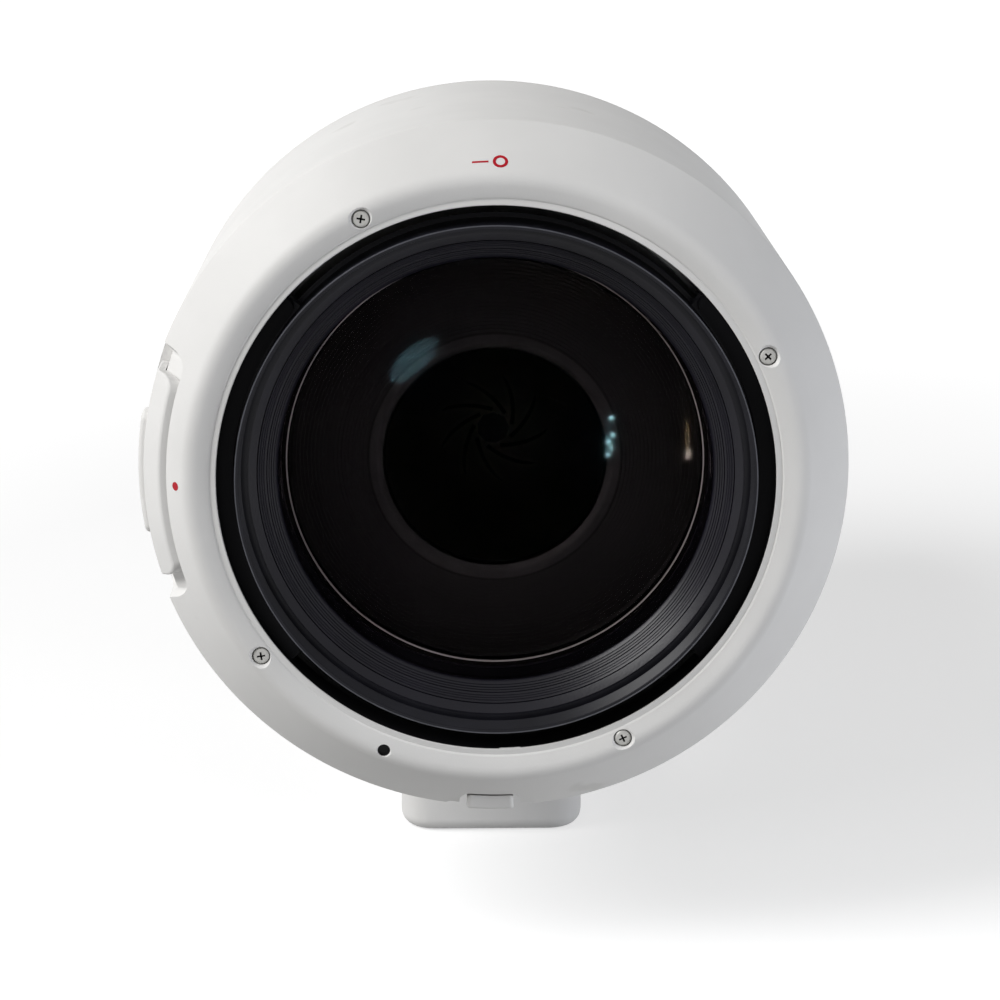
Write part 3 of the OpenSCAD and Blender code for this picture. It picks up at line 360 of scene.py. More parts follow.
# Smooth black of the mouth of a lens cell: satin, so that it catches the light where it rolls over.
rim_black = finish("satin_black_alloy", "#303031", "#373738", 5, 0.5, level=0.06)
brass = finish("turned_brass", "#a8843f", "#b8934c", 2, 0.3, metal=1.0, grain=0.05)
board = finish("green_circuit_board", "#1d3a26", "#26492f", 3, 0.45, grain=0.05)
# Blade steel: thin strip with a pale, dull lacquer; a darker strip near the tip is painted shade.
blade_steel = finish("lacquered_blade_steel", "#c2bbb2", "#cdc6bd", 3, 0.5, level=0.3, grain=0.04)
blade_edge_shade = finish("painted_shade_blade_edge", "#4c4743", "#56514c", 3, 0.5, level=0.2)
carried = {
    alloy: ("main_sleeve", "cam_tube", "focus_cam", "focus_motor", "stabiliser_yoke"),
    black_anodised: ("guide_tube", "core_tube", "stabiliser_cell", "focus_cell"),
    baffle_black: ("iris_ring",),
    blade_steel: ("iris_base",),
    brass: ("front_rollers", "variator_rollers", "focus_pins"),
    board: ("circuit_ring",),
}
for material, names in carried.items():
    for name in names:
        nodes[name].data.materials.clear()
        nodes[name].data.materials.append(material)

# Iris: nine thin lacquered blades on pivots, closed to a small hole. Each is a stamped crescent that climbs
# a little from its pivot to its tip, so that all nine lie over one another in turn. A darker strip along the
# inner edge near the tip is painted shade, the dark line where one blade lies over the next.
pivot_r, climb, closed_by = 21.2, 0.0075, Matrix.Rotation(radians(28.676), 2)
for i in range(9):
    blade = bmesh.new()
    bmesh.ops.create_grid(blade, x_segments=48, y_segments=20, size=1)
    for v in blade.verts:
        u, w = radians(56 + 62 * v.co.x), (v.co.y + 1) / 2
        r = 13 + 13 * w * sqrt(1 - 0.97 * abs(v.co.x) ** 8)
        flat_place = Vector((r * cos(u) - pivot_r, r * sin(u)))
        flat_place.rotate(closed_by)
        flat_place.x += pivot_r
        around = (degrees(atan2(flat_place.y, flat_place.x)) + 60) % 360 - 60
        flat_place.rotate(Matrix.Rotation(radians(40 * i), 2))
        v.co = Vector((flat_place.x, -154.2 - climb * around, flat_place.y)) * 0.001
    # Faces along the inner edge near the tip take the second material, a darker painted shade.
    for f in blade.faces:
        f.material_index = int(33 < f.index < 48)
    bmesh.ops.translate(blade, verts=second_side(blade), vec=(0, -0.00013, 0))
    name = "blade_%d" % (i + 1)
    blade = piece(blade, "iris_" + name, blade_steel, "iris_" + name, "black_metal", name)
    blade.data.materials.append(blade_edge_shade)


# Lenses: ground and polished glass with a coating that leaves only a faint reflection.
# Each has a ground cylindrical edge held in its cell; those behind the iris look dark in the black tube.
def glass(name, body_tint, coating, ior):
    """Clear glass whose coated surface reflects as little as that of a body of this index would."""
    m = bpy.data.materials.new(name)
    m.use_nodes = True
    m.node_tree.nodes.clear()
    place = node(m, "TexCoord").outputs["Object"]
    haze = node(m, "TexNoise", {"Vector": place}, Scale=60.0, Detail=4.0)
    rough = node(m, "MapRange", {"Value": haze.outputs["Fac"]}, To_Min=0.035, To_Max=0.045)
    through = node(m, "BsdfTransparent", Color=rgb(body_tint))
    shine = node(m, "BsdfGlossy", {"Roughness": rough.outputs["Result"]}, Color=rgb(coating))
    amount = node(m, "Fresnel", IOR=ior)
    shader = node(m, "MixShader", {0: amount.outputs["Fac"], 1: through.outputs[0], 2: shine.outputs[0]})
    node(m, "OutputMaterial", {"Surface": shader.outputs[0]})
    return m


front_glass = glass("coated_front_glass", "#f8f6f6", "#e8e4ec", 1.055)
inner_glass = glass("coated_inner_glass", "#f6f4f4", "#e8e4ec", 1.006)
rear_glass = glass("coated_rear_glass", "#4a4a4c", "#bfe6d6", 1.1)


def lens(r, z0, edge, front, back, clear=None):
    """Lens outline: an edge, a bulge to the front and a hollow at the back; clear steps its front rim in."""
    clear = clear or r
    fr, br = (r * r + front * front) / (2 * front), (r * r + back * back) / (2 * back)
    top = z0 + edge + front
    outline = [(0, z0 + back)]
    outline += [(r * k / 40, z0 + back - br + sqrt(br ** 2 - (r * k / 40) ** 2)) for k in range(1, 41)]
    if clear < r:
        outline += [(r, z0 + edge), (clear, z0 + edge)]
    outline += [(clear * k / 48, top - fr + sqrt(fr ** 2 - (clear * k / 48) ** 2)) for k in range(48, -1, -1)]
    return turned(outline, 256)


for name, body, glazing, r, z0, edge, front, back in (
        ("rear_lens", "barrel", rear_glass, 19, 15, 3, 1.6, 1),
        ("focus_lens", "focus_group", rear_glass, 19, 72, 4, 1.4, 1),
        ("stabiliser_lens", "stabiliser_group", rear_glass, 13, 124, 2.6, 1, 0.6),
        ("variator_lens", "variator", inner_glass, 18.3, 172.6, 2.5, 0.8, 0.8),
        ("second_lens", "front_group", inner_glass, 34.6, 179.6, 2, 1.4, 0.9)):
    piece(lens(r, z0, edge, front, back), name + "_glass", glazing, body, "glass", name)
# Only the front of the front lens has the stronger reflection; its back and edge are as the inner lenses.
front_element = lens(34.6, 181.6, 3.4, 3.4, 2, 32.7)
for f in front_element.faces:
    f.material_index = 0 if f.normal.y < -0.2 else 1
front_element = piece(front_element, "front_lens_glass", front_glass, "front_group", "glass", "front_lens")
front_element.data.materials.append(inner_glass)

# Variator carrier: a sliding alloy tube whose front is a shallow funnel that traps stray light round its
# mouth. The funnel is painted black over fine turned steps; the rounded rim of the mouth is smooth.
funnel = [(29.8, 100.8), (32.4, 100.8), (32.4, 176.6, 0.3), (31.9, 177, 0.2)]
for k in range(20):
    r, z = 31.4 - 0.58 * k, 176.5 - 0.9 * sin(pi * k / 22) - 0.03 * k
    funnel += [(r, z), (r - 0.5, z - 0.06), (r - 0.56, z - 0.03)]
funnel += [(19.5, 175.6), (18.9, 175.6), (18.9, 171), (29.8, 171)]
# Paint of the funnel, with painted shade: deep black at the outside, a little greyer toward the mouth where
# more light falls.
funnel_paint_and_shade = finish("baffle_paint_with_painted_shade", "#080808", "#1e1e1f", 4, 0.6, level=0.08)
place = node(funnel_paint_and_shade, "TexCoord").outputs["Object"]
# The change from black to grey with distance from the axis is painted shade and light.
across = node(funnel_paint_and_shade, "VectorMath", {0: place}, operation="MULTIPLY")
across.inputs[1].default_value = (1, 0, 1)
reach = node(funnel_paint_and_shade, "VectorMath", {0: across.outputs["Vector"]}, operation="LENGTH")
toward_mouth = node(funnel_paint_and_shade, "MapRange", {"Value": reach.outputs["Value"]}, From_Min=0.029,
                    From_Max=0.0185, To_Min=0.35, To_Max=0.65)
ramp = next(n for n in funnel_paint_and_shade.node_tree.nodes if n.type == "VALTORGB")
funnel_paint_and_shade.node_tree.links.new(toward_mouth.outputs["Result"], ramp.inputs["Fac"])
piece(turned(funnel), "variator_funnel", funnel_paint_and_shade, "variator", "black_metal", "variator_carrier")
rim = [(18.9, 172), (18.9, 175.5), (19.5, 175.62), (18.3, 175.85, 0.7), (17, 174.8, 0.7), (17, 174.2),
       (18.4, 174.2), (18.4, 172)]
piece(turned(rim, 320), "variator_rim", rim_black, "variator", "black_metal")

# Tripod collar: an alloy ring that turns on its seat, a boss with the locking knob, and the foot, screwed on
# from below. Both castings are machined, broken at the edges and painted as the barrel is.
collar = turned([(41.9, 51), (43.8, 51, 0.4), (44.9, 52.3, 0.8), (44.9, 77.7, 0.8), (43.8, 79, 0.4),
                 (41.9, 79)])
boss = turned([(0, 42.9), (6.5, 42.9), (6.5, 47.1, 0.5), (0, 47.1)], 64)
# Turns what is made on the optical axis to stand out from the side of the collar.
outward = (Matrix.Translation(at(0, 0, 65)) @ Matrix.Rotation(radians(-205), 4, "Y")
           @ Matrix.Rotation(radians(90), 4, "Z"))
bmesh.ops.transform(boss, verts=boss.verts, matrix=outward)
collar = carve(collar, boss, operation="UNION")
piece(collar, "collar_casting", white_enamel, "collar", "white_paint", "collar_ring")

# Focus ring, index ring, zoom ring and nose ring: painted alloy shells on one sleeve.
# The two that turn carry moulded rubber grips with rows of ribs.
for name, body, z0, z1 in (("focus_ring", "focus_control", 80.5, 105.5), ("index_ring", "barrel", 106, 111),
                           ("zoom_ring", "zoom_control", 111.5, 166.5)):
    low = 40.5 if name == "index_ring" else 40.8
    shell = turned([(low, z0), (42.6, z0, 0.35), (42.6, z1, 0.35), (low, z1)])
    piece(shell, name + "_shell", white_enamel, body, "white_paint", name)
nose = turned([(40.5, 167), (42.6, 167, 0.2), (42.6, 171, 0.8), (41.6, 172, 0.5), (40.5, 172, 0.2)])
piece(nose, "nose_ring_shell", white_enamel, "barrel", "white_paint", "nose_ring")
# Black print: scale numbers on the zoom ring, the index line they are read at, and the collar's level marks.
black_print = finish("black_print", "#18181a", "#1e1e20", 2, 0.5, level=0.3)


def lettering(body, size, r, deg, z):
    """Numbers printed round a ring, as a film a few hundredths of a millimetre thick."""
    curve = bpy.data.curves.new("print", "FONT")
    curve.body, curve.size, curve.align_x, curve.extrude = body, size, "CENTER", 0.02
    words = bpy.data.objects.new("print", curve)
    bpy.context.scene.collection.objects.link(words)
    bpy.context.view_layer.update()
    mesh = bpy.data.meshes.new_from_object(words.evaluated_get(bpy.context.evaluated_depsgraph_get()))
    bm = bmesh.new()
    bm.from_mesh(mesh)
    bpy.data.meshes.remove(mesh)
    bpy.data.objects.remove(words)
    bmesh.ops.subdivide_edges(bm, edges=[e for e in bm.edges if e.calc_length() > size / 3], cuts=2)
    for v in bm.verts:
        v.co = at(r + v.co.z, deg + degrees(v.co.x / r), z + v.co.y)
    bmesh.ops.reverse_faces(bm, faces=bm.faces)
    return bm


numbers = [lettering(body, 2.5, 42.61, deg, 112.4) for body, deg in
           (("400", 168), ("300", 144), ("200", 122), ("135", 104), ("100", 90))]
piece(joined(*numbers), "zoom_scale", black_print, "zoom_control", "white_paint")


def printed_line(deg, z0, z1, r):
    return pad(deg, 0.28, z0, z1, flat(r + 0.04), flat(r - 0.05), cells=(4, 8))


zoom_line = printed_line(90, 106.8, 110.4, 42.6)
piece(zoom_line, "zoom_index_line", black_print, "barrel", "white_paint")
level_line = printed_line(90, 45.5, 49.2, 42.6)
piece(level_line, "level_line", black_print, "barrel", "white_paint")
levels = [printed_line(a, 52.8, 56.5, 44.9) for a in (0, 90, 180)]
piece(joined(*levels), "collar_level_lines", black_print, "collar", "white_paint")


def ribs_at(v, count):
    """Wave with this many crests round the optical axis, at a vertex."""
    return cos(Vector((v.co.x, v.co.z)).angle_signed(Vector((1, 0)), 0) * count)


def grip(z0, z1, ribs):
    """Rubber sleeve: two rows of ribs with a plain band at each end and between them."""
    rows = [(44.2, z0 + (z1 - z0) * k / 40) for k in range(1, 40)]
    bm = turned([(42.6, z0), (44.2, z0, 0.3)] + rows + [(44.2, z1, 0.3), (42.6, z1)], ribs * 8)
    mid, row = (z0 + z1) / 2, (z1 - z0) / 2 - 2.4
    for v in bm.verts:
        r, z = hypot(v.co.x, v.co.z) * 1000, -v.co.y * 1000
        if r > 44.1:
            away = abs(abs(z - mid) - row / 2 - 0.9)
            in_gap = min(1, max(0, (ribs_at(v, ribs) - 0.35) * 3))
            k = 1 - 0.7 * in_gap * min(1, max(0, (row / 2 - away) * 2)) / r
            v.co.x, v.co.z = v.co.x * k, v.co.z * k
    return bm


piece(grip(83, 103, 60), "focus_rubber", rubber, "focus_control", "rubber", "focus_grip")
piece(grip(115, 163, 60), "zoom_rubber", rubber, "zoom_control", "rubber", "zoom_grip")

# Front tube and head ring: black anodised alloy. The tube slides out when zooming; the head carries the
# filter thread, the hood bayonet and the two front lenses, which a grooved conical ring holds in.
tube = turned([(36.7, 119), (38.3, 119, 0.3), (38.3, 184), (36.7, 184)])
piece(tube, "front_tube_shell", black_anodised, "front_group", "black_metal", "front_tube")
thread = []
for k in range(6):
    z = 192.4 - 0.6 * k
    thread += [(38.85, z - 0.15), (38.5, z - 0.45)]
head = turned([(38.55, 193, 0.1), (39.2, 193, 0.15), (39.2, 184.8), (39.9, 184.8), (39.9, 174.2, 0.3),
               (38.3, 174.2), (38.3, 184), (36.7, 184), (36.7, 178.3), (33, 178.3, 0.15), (33, 179.6),
               (34.7, 179.6), (34.7, 185), (37.6, 185), (37.6, 188.8), (38.5, 188.8)] + thread[::-1])
bayonet_lugs = [sector(39.0, 41.2, a, 42, 184.8, 187.3) for a in (0, 180)]
piece(joined(head, *bayonet_lugs), "front_head", black_anodised, "front_group", "black_metal", "front_ring")
cone = [(37.6, 185), (37.6, 188.7), (37.35, 188.72, 0.05)]
cone_rise = 0.828
for r, wide, deep in ((36.2, 0.16, 0.3), (35.75, 0.1, 0.06), (35.45, 0.1, 0.06), (35.15, 0.1, 0.06),
                      (34.8, 0.14, 0.14), (34.45, 0.1, 0.08), (34.15, 0.12, 0.12), (33.8, 0.1, 0.08)):
    z = 185.2 + (r - 33.1) * cone_rise
    cone += [(r, z), (r - wide * 0.4, z - deep - wide * 0.33), (r - wide, z - wide * cone_rise)]
cone += [(33.3, 185.37), (33.1, 185)]
# Blackened ring with a bluish sheen, a little shinier than the head; its grooves break the reflections up.
blued_ring = finish("blued_ring_alloy", "#0f0e15", "#14131b", 9, 0.34, level=0.22, grain=0.2, grain_size=0.4)
piece(turned(cone, 320), "grooved_retainer", blued_ring, "front_group", "black_metal", "front_retainer")
# Pale ring at the edge of the seat behind the second lens: a painted highlight.
seat_rim_highlight = finish("painted_highlight_ring", "#c4c4c4", "#d2d2d2", 3, 0.5, level=0.4, grain=0.1)
seat_edge = turned([(32.1, 178.5), (32.29, 178.45), (32.29, 178.7)], 320)
piece(seat_edge, "seat_edge", seat_rim_highlight, "front_group", "black_metal")
seat_ring = turned([(32.29, 178.4), (33.2, 178.4), (33.2, 178.78), (32.29, 178.7)], 320)
piece(seat_ring, "seat_ring", baffle_black, "front_group", "black_metal")
# Rim of the filter thread, lighter grey than the head: a painted highlight along its edge.
filter_rim_highlight = finish("painted_highlight_edge", "#3c3d43", "#4a4b52", 2, 0.4, level=0.4, grain=0.1)
filter_rim = turned([(39.0, 192.97), (39.04, 193.03, 0.02), (39.2, 193.03, 0.03), (39.22, 192.9),
                     (39.1, 192.9)], 320)
piece(filter_rim, "filter_rim_edge", filter_rim_highlight, "front_group", "black_metal")

# Hood shell: a thick moulding painted white. From the mouth out it has a low lip, a face that slopes in
# toward the mouth, a soft edge and a bevel that runs into the straight wall. Screw pockets, a blind hole, the
# slider groove and the button notch are cut in.


def sloped(r, z_front, rise, limit):
    """Radius that grows from r at the front end by rise for each mm backward, up to a limit."""
    return lambda z: min(limit, r + (z_front - z) * rise)


hood = turned([(42.45, 190), (42.45, 191.8), (42, 191.86, 0.05), (42, 192.2, 0.2), (42.95, 192.05, 0.06),
               (43.2, 192.3, 0.08), (46.3, 193.15, 3), (53.8, 185.4, 0.7), (53.8, 132, 0.8), (50.8, 132, 0.5),
               (50.6, 134), (50.6, 183.9), (46.8, 190)], 360)
screw_circle, screw_angles = 44.7, (25.7, 116.3, 216.8, 295.7)
pocket = [(0, 191.3), (1.4, 191.3), (1.4, 192.3), (1.85, 192.8), (1.85, 194), (0, 194)]
cuts = [moved(turned(pocket, 48), at(screw_circle, a, 0)) for a in screw_angles]
hole_place = at(45.4, 247.6, 0)
hole = [(0, 191.3), (0.98, 191.3), (0.98, 192.6), (1.3, 193), (1.3, 194), (0, 194)]
cuts.append(moved(turned(hole, 40), hole_place))
# The cutters reach past the wall, to this radius. The groove's floor runs out toward both its ends.
outside = flat(58)
groove = pad(179.4, 21.8, 177, 189.7, outside, sloped(48.3, 189.7, 0.795, 52.1), 3, 0, (90, 24))
for v in groove.verts:
    r = hypot(v.co.x, v.co.z)
    runout = max(0, abs(degrees(atan2(v.co.z, -v.co.x)) - 0.6) - 20.9)
    if r < 0.056:
        k = 1 + 0.002 * runout / r
        v.co.x, v.co.z = v.co.x * k, v.co.z * k
cuts.append(groove)
button_angle = 269
cuts.append(pad(button_angle, 8.3, 170, 186.9, outside, flat(53.25), 4.0))
notch_floor = sloped(49.75, 188.5, 0.64, 51.4)
cuts.append(pad(button_angle, degrees(4.9 / 53.8), 172.7, 188.5, outside, notch_floor, 1.8, 0, (40, 24)))
nub = sector(41.88, 42.4, 272.8, 2.2, 191.88, 192.1, 0.1, 24)
hood = carve(carve(hood, nub, operation="UNION"), *cuts)
piece(hood, "hood_moulding", white_enamel, "hood", "white_plastic", "hood_shell")
# A black disc on the floor of the blind hole is painted shade that makes the hole read dark.
hole_shade_outline = [(0, 191.3), (0.96, 191.3), (0.96, 192.3), (0.88, 192.3), (0.83, 191.7), (0, 191.6)]
piece(moved(turned(hole_shade_outline, 40), hole_place), "hood_hole_shade_disc", rubber, "hood", "black_plastic")

# Hood screws: small nickel plated pan heads in round pockets, with a cross recess.
# Each stopped at its own angle when it was driven in.
nickel = finish("satin_nickel", "#b4b3af", "#c0bfbb", 1.5, 0.45, metal=0.25, grain=0.1)
pan_head = [(0, 0), (1.02, -0.02, 0.3), (1.23, -0.22, 0.15), (1.23, -1), (0.8, -1), (0.8, -2.4), (0, -2.4)]
screw_turns = 45, 10, -8, -25
screws, recess_shade = zip(*(cross_screw(1.3, pan_head, screw_circle, a, 192.45, 0.7, turn)
                      for a, turn in zip(screw_angles, screw_turns)))
piece(joined(*screws), "hood_screw_set", nickel, "hood", "screw_steel", "hood_screws")
# The dark sheets in the cross recesses are painted shade.
piece(joined(*recess_shade), "hood_screw_recesses", painted_recess_shade, "hood", "screw_steel")

# Thumb slider: a bent white moulding in the groove, with a low rib across its middle for the thumb.
# It slides a little way round the hood, both ways.
plate = pad(179.5, 17.5, 177.4, 189.4, sloped(50.85, 189.4, 0.8, 53.4), sloped(48.75, 189.4, 0.814, 52.25),
            2.2, 0.35, (96, 64))
rib = pad(180.2, 10.2, 179, 184, flat(54.5), flat(52.9), 1.4, 0.7, (64, 28))
piece(joined(plate, rib), "slider_moulding", white_enamel, "slider", "white_plastic", "hood_slider")

# Release button: a white tab in its notch, pressed inward to let the hood turn. Four grooves help the
# finger, and the floor of the notch lies deep enough under the tab to let it go in.


def grooved_top(z):
    dip = 0.45 * max(0, cos((z - 182.2) * pi)) ** 4 if 175.6 < z < 183 else 0
    return min(54.1, 53.4 + (188 - z) * 0.35) - dip


underside = sloped(51.2, 188, 0.64, 52.6)
tab = pad(button_angle, degrees(3.7 / 54.1), 174.1, 188, grooved_top, underside, 0.6, 0.4, (40, 140))
piece(tab, "button_moulding", white_enamel, "button", "white_plastic", "hood_button")

# Hood liner: a black moulding inside the shell, with two bayonet lugs just in front of those of the head.
# Its inside is the black wall that shows round the head.
liner = turned([(42.03, 191.8), (42.42, 191.8), (42.42, 190), (46.8, 190), (50.6, 183.9), (50.6, 134),
                (48.8, 134, 0.5), (48.8, 182.9), (45, 186), (42.03, 186)])
lugs = [sector(39.6, 42.5, a, 42, 187.6, 190, 1.6, 72) for a in (0, 180)]
piece(joined(liner, *lugs), "hood_liner_moulding", black_moulding, "hood", "black_plastic", "hood_liner")

# Marks on the hood: a red dash and ring at the top, a red dot beside the slider, printed on the bevel.
# They show where the hood locks and where it goes on.


def bevel_at(z):
    return min(53.8, 46.3 + 0.968 * (193.15 - z))


def on_bevel(points, deg, z):
    """Flat outline in mm (across, toward the front) laid on the bevel as a thin film of ink."""
    bm = bmesh.new()
    loops = []
    for outline in points:
        verts = []
        for x, y in outline:
            zz = z + y * 0.718
            verts.append(bm.verts.new(at(bevel_at(zz) + 0.01, deg - degrees(x / bevel_at(zz)), zz)))
        loops.append([bm.edges.new(p) for p in zip(verts, verts[1:] + verts[:1])])
    if len(loops) == 2:
        bmesh.ops.bridge_loops(bm, edges=loops[0] + loops[1])
    else:
        bmesh.ops.triangle_fill(bm, edges=loops[0], use_beauty=True)
    bmesh.ops.translate(bm, verts=second_side(bm), vec=at(0.02, deg, 0.02))
    bmesh.ops.recalc_face_normals(bm, faces=bm.faces)
    return bm


def circle(r, x=0):
    return [(x + r * cos(k * pi / 24), r * sin(k * pi / 24)) for k in range(48)]


dash = [(-3.55, -0.16), (-1.15, -0.16), (-1.15, 0.16), (-3.55, 0.16)]
marks = [on_bevel([circle(1.12, 0.6), circle(0.68, 0.6)], 90, 191.1),
         on_bevel([circle(0.66)], 180.45, 191.25), on_bevel([dash], 90, 191.1)]
piece(joined(*marks), "hood_marks", red_enamel, "hood", "white_plastic")

# Foot: a cast and machined block with a rounded plate and a stalk that flares into it, held by two socket
# screws. It has the tripod bush, a steel thread insert, and a hole for the pin that stops it turning.
base, bush_z, pin_z, cap_screws_z = -78.5, 100.56, 115.56, (59, 71)


def block(levels, centre):
    """Upright body from rounded outlines (height, half width, half length, corner), lowest first."""
    bm = bmesh.new()
    rings = []
    for z, x, y, corner in levels:
        outline = rounded([(-x, -y, corner), (x, -y, corner), (x, y, corner), (-x, y, corner)])
        rings.append([bm.verts.new(Vector((p.x, p.y - centre, z)) * 0.001) for p in outline])
    for low, high in zip(rings, rings[1:]):
        for k in range(len(low)):
            bm.faces.new((low[k - 1], low[k], high[k], high[k - 1]))
    bm.faces.new(rings[0][::-1])
    bm.faces.new(rings[-1])
    bmesh.ops.recalc_face_normals(bm, faces=bm.faces)
    return bm


def in_base(bm, z):
    """Turns a part made on the optical axis to stand in the foot's base, z mm forward of the flange."""
    place = Matrix.Translation(Vector((0, -z, base)) * 0.001) @ Matrix.Rotation(radians(90), 4, "X")
    bmesh.ops.transform(bm, verts=bm.verts, matrix=place)
    return bm


edge = [(base + 2.5 * (1 - cos(k * pi / 12)), 2.5 * (1 - sin(k * pi / 12))) for k in range(7)]
edge += [(-66.5 - 1.0 * (1 - sin(k * pi / 8)), 1.0 * (1 - cos(k * pi / 8))) for k in range(5)]
plate = block([(z, 16 - inset, 44 - inset, 5.8 - inset) for z, inset in edge], 90)
flare = [(-66.8 + 2.4 * sin(k * pi / 12), 1.6 * (1 - sin(k * pi / 12)) ** 1.5) for k in range(7)]
stalk = block([(z, 13 + more, 13.6 + more, 3.2) for z, more in flare] + [(-42.4, 13, 13.6, 3.2)], 65)
holes = [in_base(turned([(0, -9), (4.3, -9), (4.3, 0.2), (4.5, 0.6), (4.5, 3), (0, 3)], 64), bush_z),
         in_base(turned([(0, -5), (2.25, -5), (2.25, -0.3), (2.6, 0.1), (2.6, 3), (0, 3)], 48), pin_z)]
counterbore = [(0, -4.7), (3.65, -4.7), (3.65, -0.3), (4.0, 0.1), (4.0, 3), (0, 3)]
holes += [in_base(turned(counterbore, 64), z) for z in cap_screws_z]
foot = carve(carve(plate, stalk, operation="UNION"), *holes)
piece(foot, "foot_casting", white_enamel, "collar", "white_paint", "tripod_foot")
turns = []
for k in range(8):
    turns += [(3.18, -0.9 - k), (3.65, -1.4 - k)]
bush = turned([(4.3, -9), (4.3, -0.1, 0.2), (3.6, -0.1), (3.2, -0.6)] + turns + [(3.18, -9)], 64)
piece(in_base(bush, bush_z), "tripod_bush", screw_steel, "collar", "white_paint")
caps = []
for z in cap_screws_z:
    cap = turned([(0, -4.6), (3.5, -4.6), (3.5, -0.8, 0.4), (0, -0.8)], 72)
    key = bmesh.new()
    bmesh.ops.create_cone(key, cap_ends=True, segments=6, radius1=0.0017, radius2=0.0017, depth=0.005,
                          matrix=Matrix.Rotation(radians(90), 4, "X"))
    caps.append(in_base(carve(cap, key), z))
black_oxide = finish("black_oxide_steel", "#1d1d1f", "#252527", 3, 0.35, metal=0.6, level=0.4, grain=0.08)
piece(joined(*caps), "foot_cap_screws", black_oxide, "collar", "screw_steel", "foot_screws")

# Locking knob: a black moulded grip on the boss of the collar, ribbed round its rim, with a dished end.
# Turning it clamps the collar on its seat.
ribs = 24
rows = [(7.7, 48.4 + 0.4 * k) for k in range(13)]
knob = turned([(0, 45.2), (2.5, 45.2), (2.5, 47.4), (7, 47.4, 0.4), (7.7, 48.2, 0.3)] + rows
              + [(7.7, 53.6, 0.3), (7.0, 54.4, 0.5), (5.2, 54.4, 0.4), (4.9, 53.8, 0.3), (0, 53.7)], ribs * 8)
for v in knob.verts:
    r, z = hypot(v.co.x, v.co.z) * 1000, -v.co.y * 1000
    if r > 7.6 and 48.3 < z < 53.5:
        k = (r + 0.3 * max(-0.6, min(0.6, ribs_at(v, ribs) * 2)) / 0.6) / r
        v.co.x, v.co.z = v.co.x * k, v.co.z * k
bmesh.ops.transform(knob, verts=knob.verts, matrix=outward)
piece(knob, "locking_knob", black_moulding, "knob", "black_plastic", "collar_knob")

# Studio: white paper under a white surround, a large soft lamp at the upper left and a small soft one close
# by on the right. Little lamps in front light only the front lens, where they show as coloured reflections.
scene = bpy.context.scene
scene.view_settings.view_transform = "Standard"


def seen_directly(owner):
    """1 for rays that come from the camera, or through glass or off a shiny surface."""
    path = node(owner, "LightPath")
    any_of = path.outputs["Is Camera Ray"]
    for kind in ("Is Glossy Ray", "Is Transmission Ray"):
        any_of = node(owner, "Math", {0: any_of, 1: path.outputs[kind]}, operation="MAXIMUM").outputs[0]
    return any_of


# White paper: bright toward its far edges, so that it meets the surround; the shadow stays on it.
paper = bpy.data.materials.new("white_paper")
paper.use_nodes = True
paper.node_tree.nodes.clear()
place = node(paper, "TexCoord").outputs["Object"]
fibre = node(paper, "TexNoise", {"Vector": place}, Scale=900.0, Detail=2.0)
relief = node(paper, "Bump", {"Height": fibre.outputs["Fac"]}, Strength=0.02, Distance=0.0001)
sheet = node(paper, "BsdfDiffuse", {"Normal": relief.outputs["Normal"]}, Color=rgb("#b6b6b6"))
shaded = node(paper, "BsdfDiffuse", {"Normal": relief.outputs["Normal"]}, Color=rgb("#bababa"))
away = node(paper, "VectorMath", {0: place}, operation="LENGTH")
fade = node(paper, "MapRange", {"Value": away.outputs["Value"]}, From_Min=0.15, From_Max=0.55, To_Min=0.62,
            To_Max=1.0)
glow = node(paper, "Emission", {"Strength": fade.outputs["Result"]}, Color=rgb("#ffffff"))
lit = node(paper, "AddShader", {0: shaded.outputs[0], 1: glow.outputs[0]})
shown = node(paper, "MixShader", {0: seen_directly(paper), 1: sheet.outputs[0], 2: lit.outputs[0]})
node(paper, "OutputMaterial", {"Surface": shown.outputs[0]})
floor = bpy.data.objects.new("floor", bpy.data.meshes.new("floor"))
bm = bmesh.new()
bmesh.ops.create_grid(bm, x_segments=2, y_segments=2, size=3)
bmesh.ops.translate(bm, verts=bm.verts, vec=(0, 0, base * 0.001))
bm.to_mesh(floor.data)
bm.free()
scene.collection.objects.link(floor)
floor.data.materials.append(paper)

world = scene.world = bpy.data.worlds.new("studio")
world.use_nodes = True
world.node_tree.nodes.clear()
level = node(world, "MapRange", {"Value": seen_directly(world)}, To_Min=0.105, To_Max=1.0)
sky = node(world, "Background", {"Strength": level.outputs["Result"]}, Color=rgb("#ffffff"))
node(world, "OutputWorld", {"Surface": sky.outputs["Background"]})


def lamp(name, place, aim, size, power, colour="#ffffff", turn=0.0, shape="RECTANGLE"):
    light = bpy.data.lights.new(name, "AREA")
    light.shape = shape
    light.size, light.size_y = size
    light.energy, light.color = power, rgb(colour)[:3]
    obj = bpy.data.objects.new(name, light)
    facing = (Vector(aim) - Vector(place)).to_track_quat("-Z", "Y").to_matrix().to_4x4()
    obj.matrix_world = Matrix.Translation(place) @ facing @ Matrix.Rotation(radians(turn), 4, "Z")
    obj.visible_camera = False
    scene.collection.objects.link(obj)
    return obj


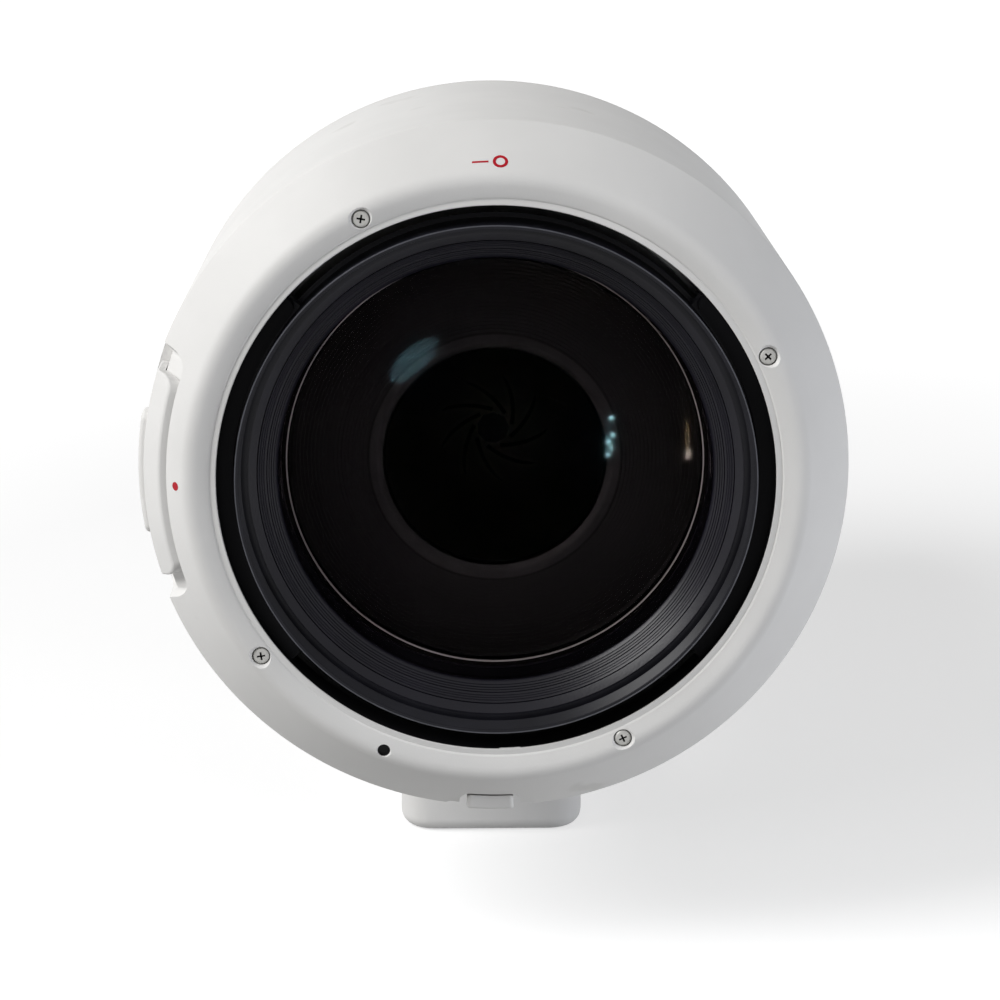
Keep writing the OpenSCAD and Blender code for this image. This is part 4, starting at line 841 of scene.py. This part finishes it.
lamp("key_softbox", (-1.0, -0.62, 0.88), (0, -0.18, 0), (0.7, 0.7), 20.4)
side = lamp("side_softbox", (0.45, -0.35, -0.02), (0, -0.18, 0), (0.26, 0.22), 1.36, "#f5f8ff")
side.visible_glossy = False
reflected = [("window", (-0.0548, -0.464, 0.0167), (0.044, 0.018), 0.14, "#b5f5ff", 43),
             ("lamp_row", (0.085, -0.455, -0.04), (0.007, 0.034), 0.02, "#90f5ff", 0),
             ("lamp_streak", (0.1388, -0.438, -0.042), (0.003, 0.036), 0.036, "#ffd898", 0),
             ("lamp_spot", (0.1392, -0.4368, -0.0545), (0.004, 0.007), 0.04, "#fff4e0", 0)]
dots = (0.086, -0.0264), (0.0872, -0.0388), (0.0837, -0.0437), (0.0865, -0.0482), (0.0836, -0.053)
reflected += [("lamp_dot_%d" % k, (x, -0.455, z), (0.0024, 0.0024), 0.03, "#c0ffff", 0)
              for k, (x, z) in enumerate(dots)]
front_glazing = bpy.data.collections.new("front_glazing")
front_glazing.objects.link(front_element)
for name, place, size, power, colour, turn in reflected:
    glint = lamp(name, place, (place[0] * 0.2, -0.187, 0.006), size, power, colour, turn, "ELLIPSE")
    glint.visible_diffuse = False
    glint.light_linking.receiver_collection = front_glazing

# Camera: 15 degrees above the lens, on a long focal length, 42 cm in front of the hood.
# The middle of the front ring falls a few pixels left of the middle of the picture and some above it.
pitch, yaw, depth, focal, sensor = radians(14.67), radians(0.93), 0.418, 100.65, 36
pixels_left, pixels_up = 3.4, 14.5
ahead = Vector((sin(yaw) * cos(pitch), cos(yaw) * cos(pitch), -sin(pitch)))
right = Vector((cos(yaw), -sin(yaw), 0))
above = right.cross(ahead)
pixel = depth * sensor / focal / 1000
camera = bpy.data.objects.new("camera", bpy.data.cameras.new("camera"))
camera.data.lens, camera.data.sensor_width = focal, sensor
camera.location = at(0, 0, 193) - depth * ahead + pixels_left * pixel * right - pixels_up * pixel * above
camera.rotation_euler = ahead.to_track_quat("-Z", "Y").to_euler()
scene.collection.objects.link(camera)
scene.camera = camera
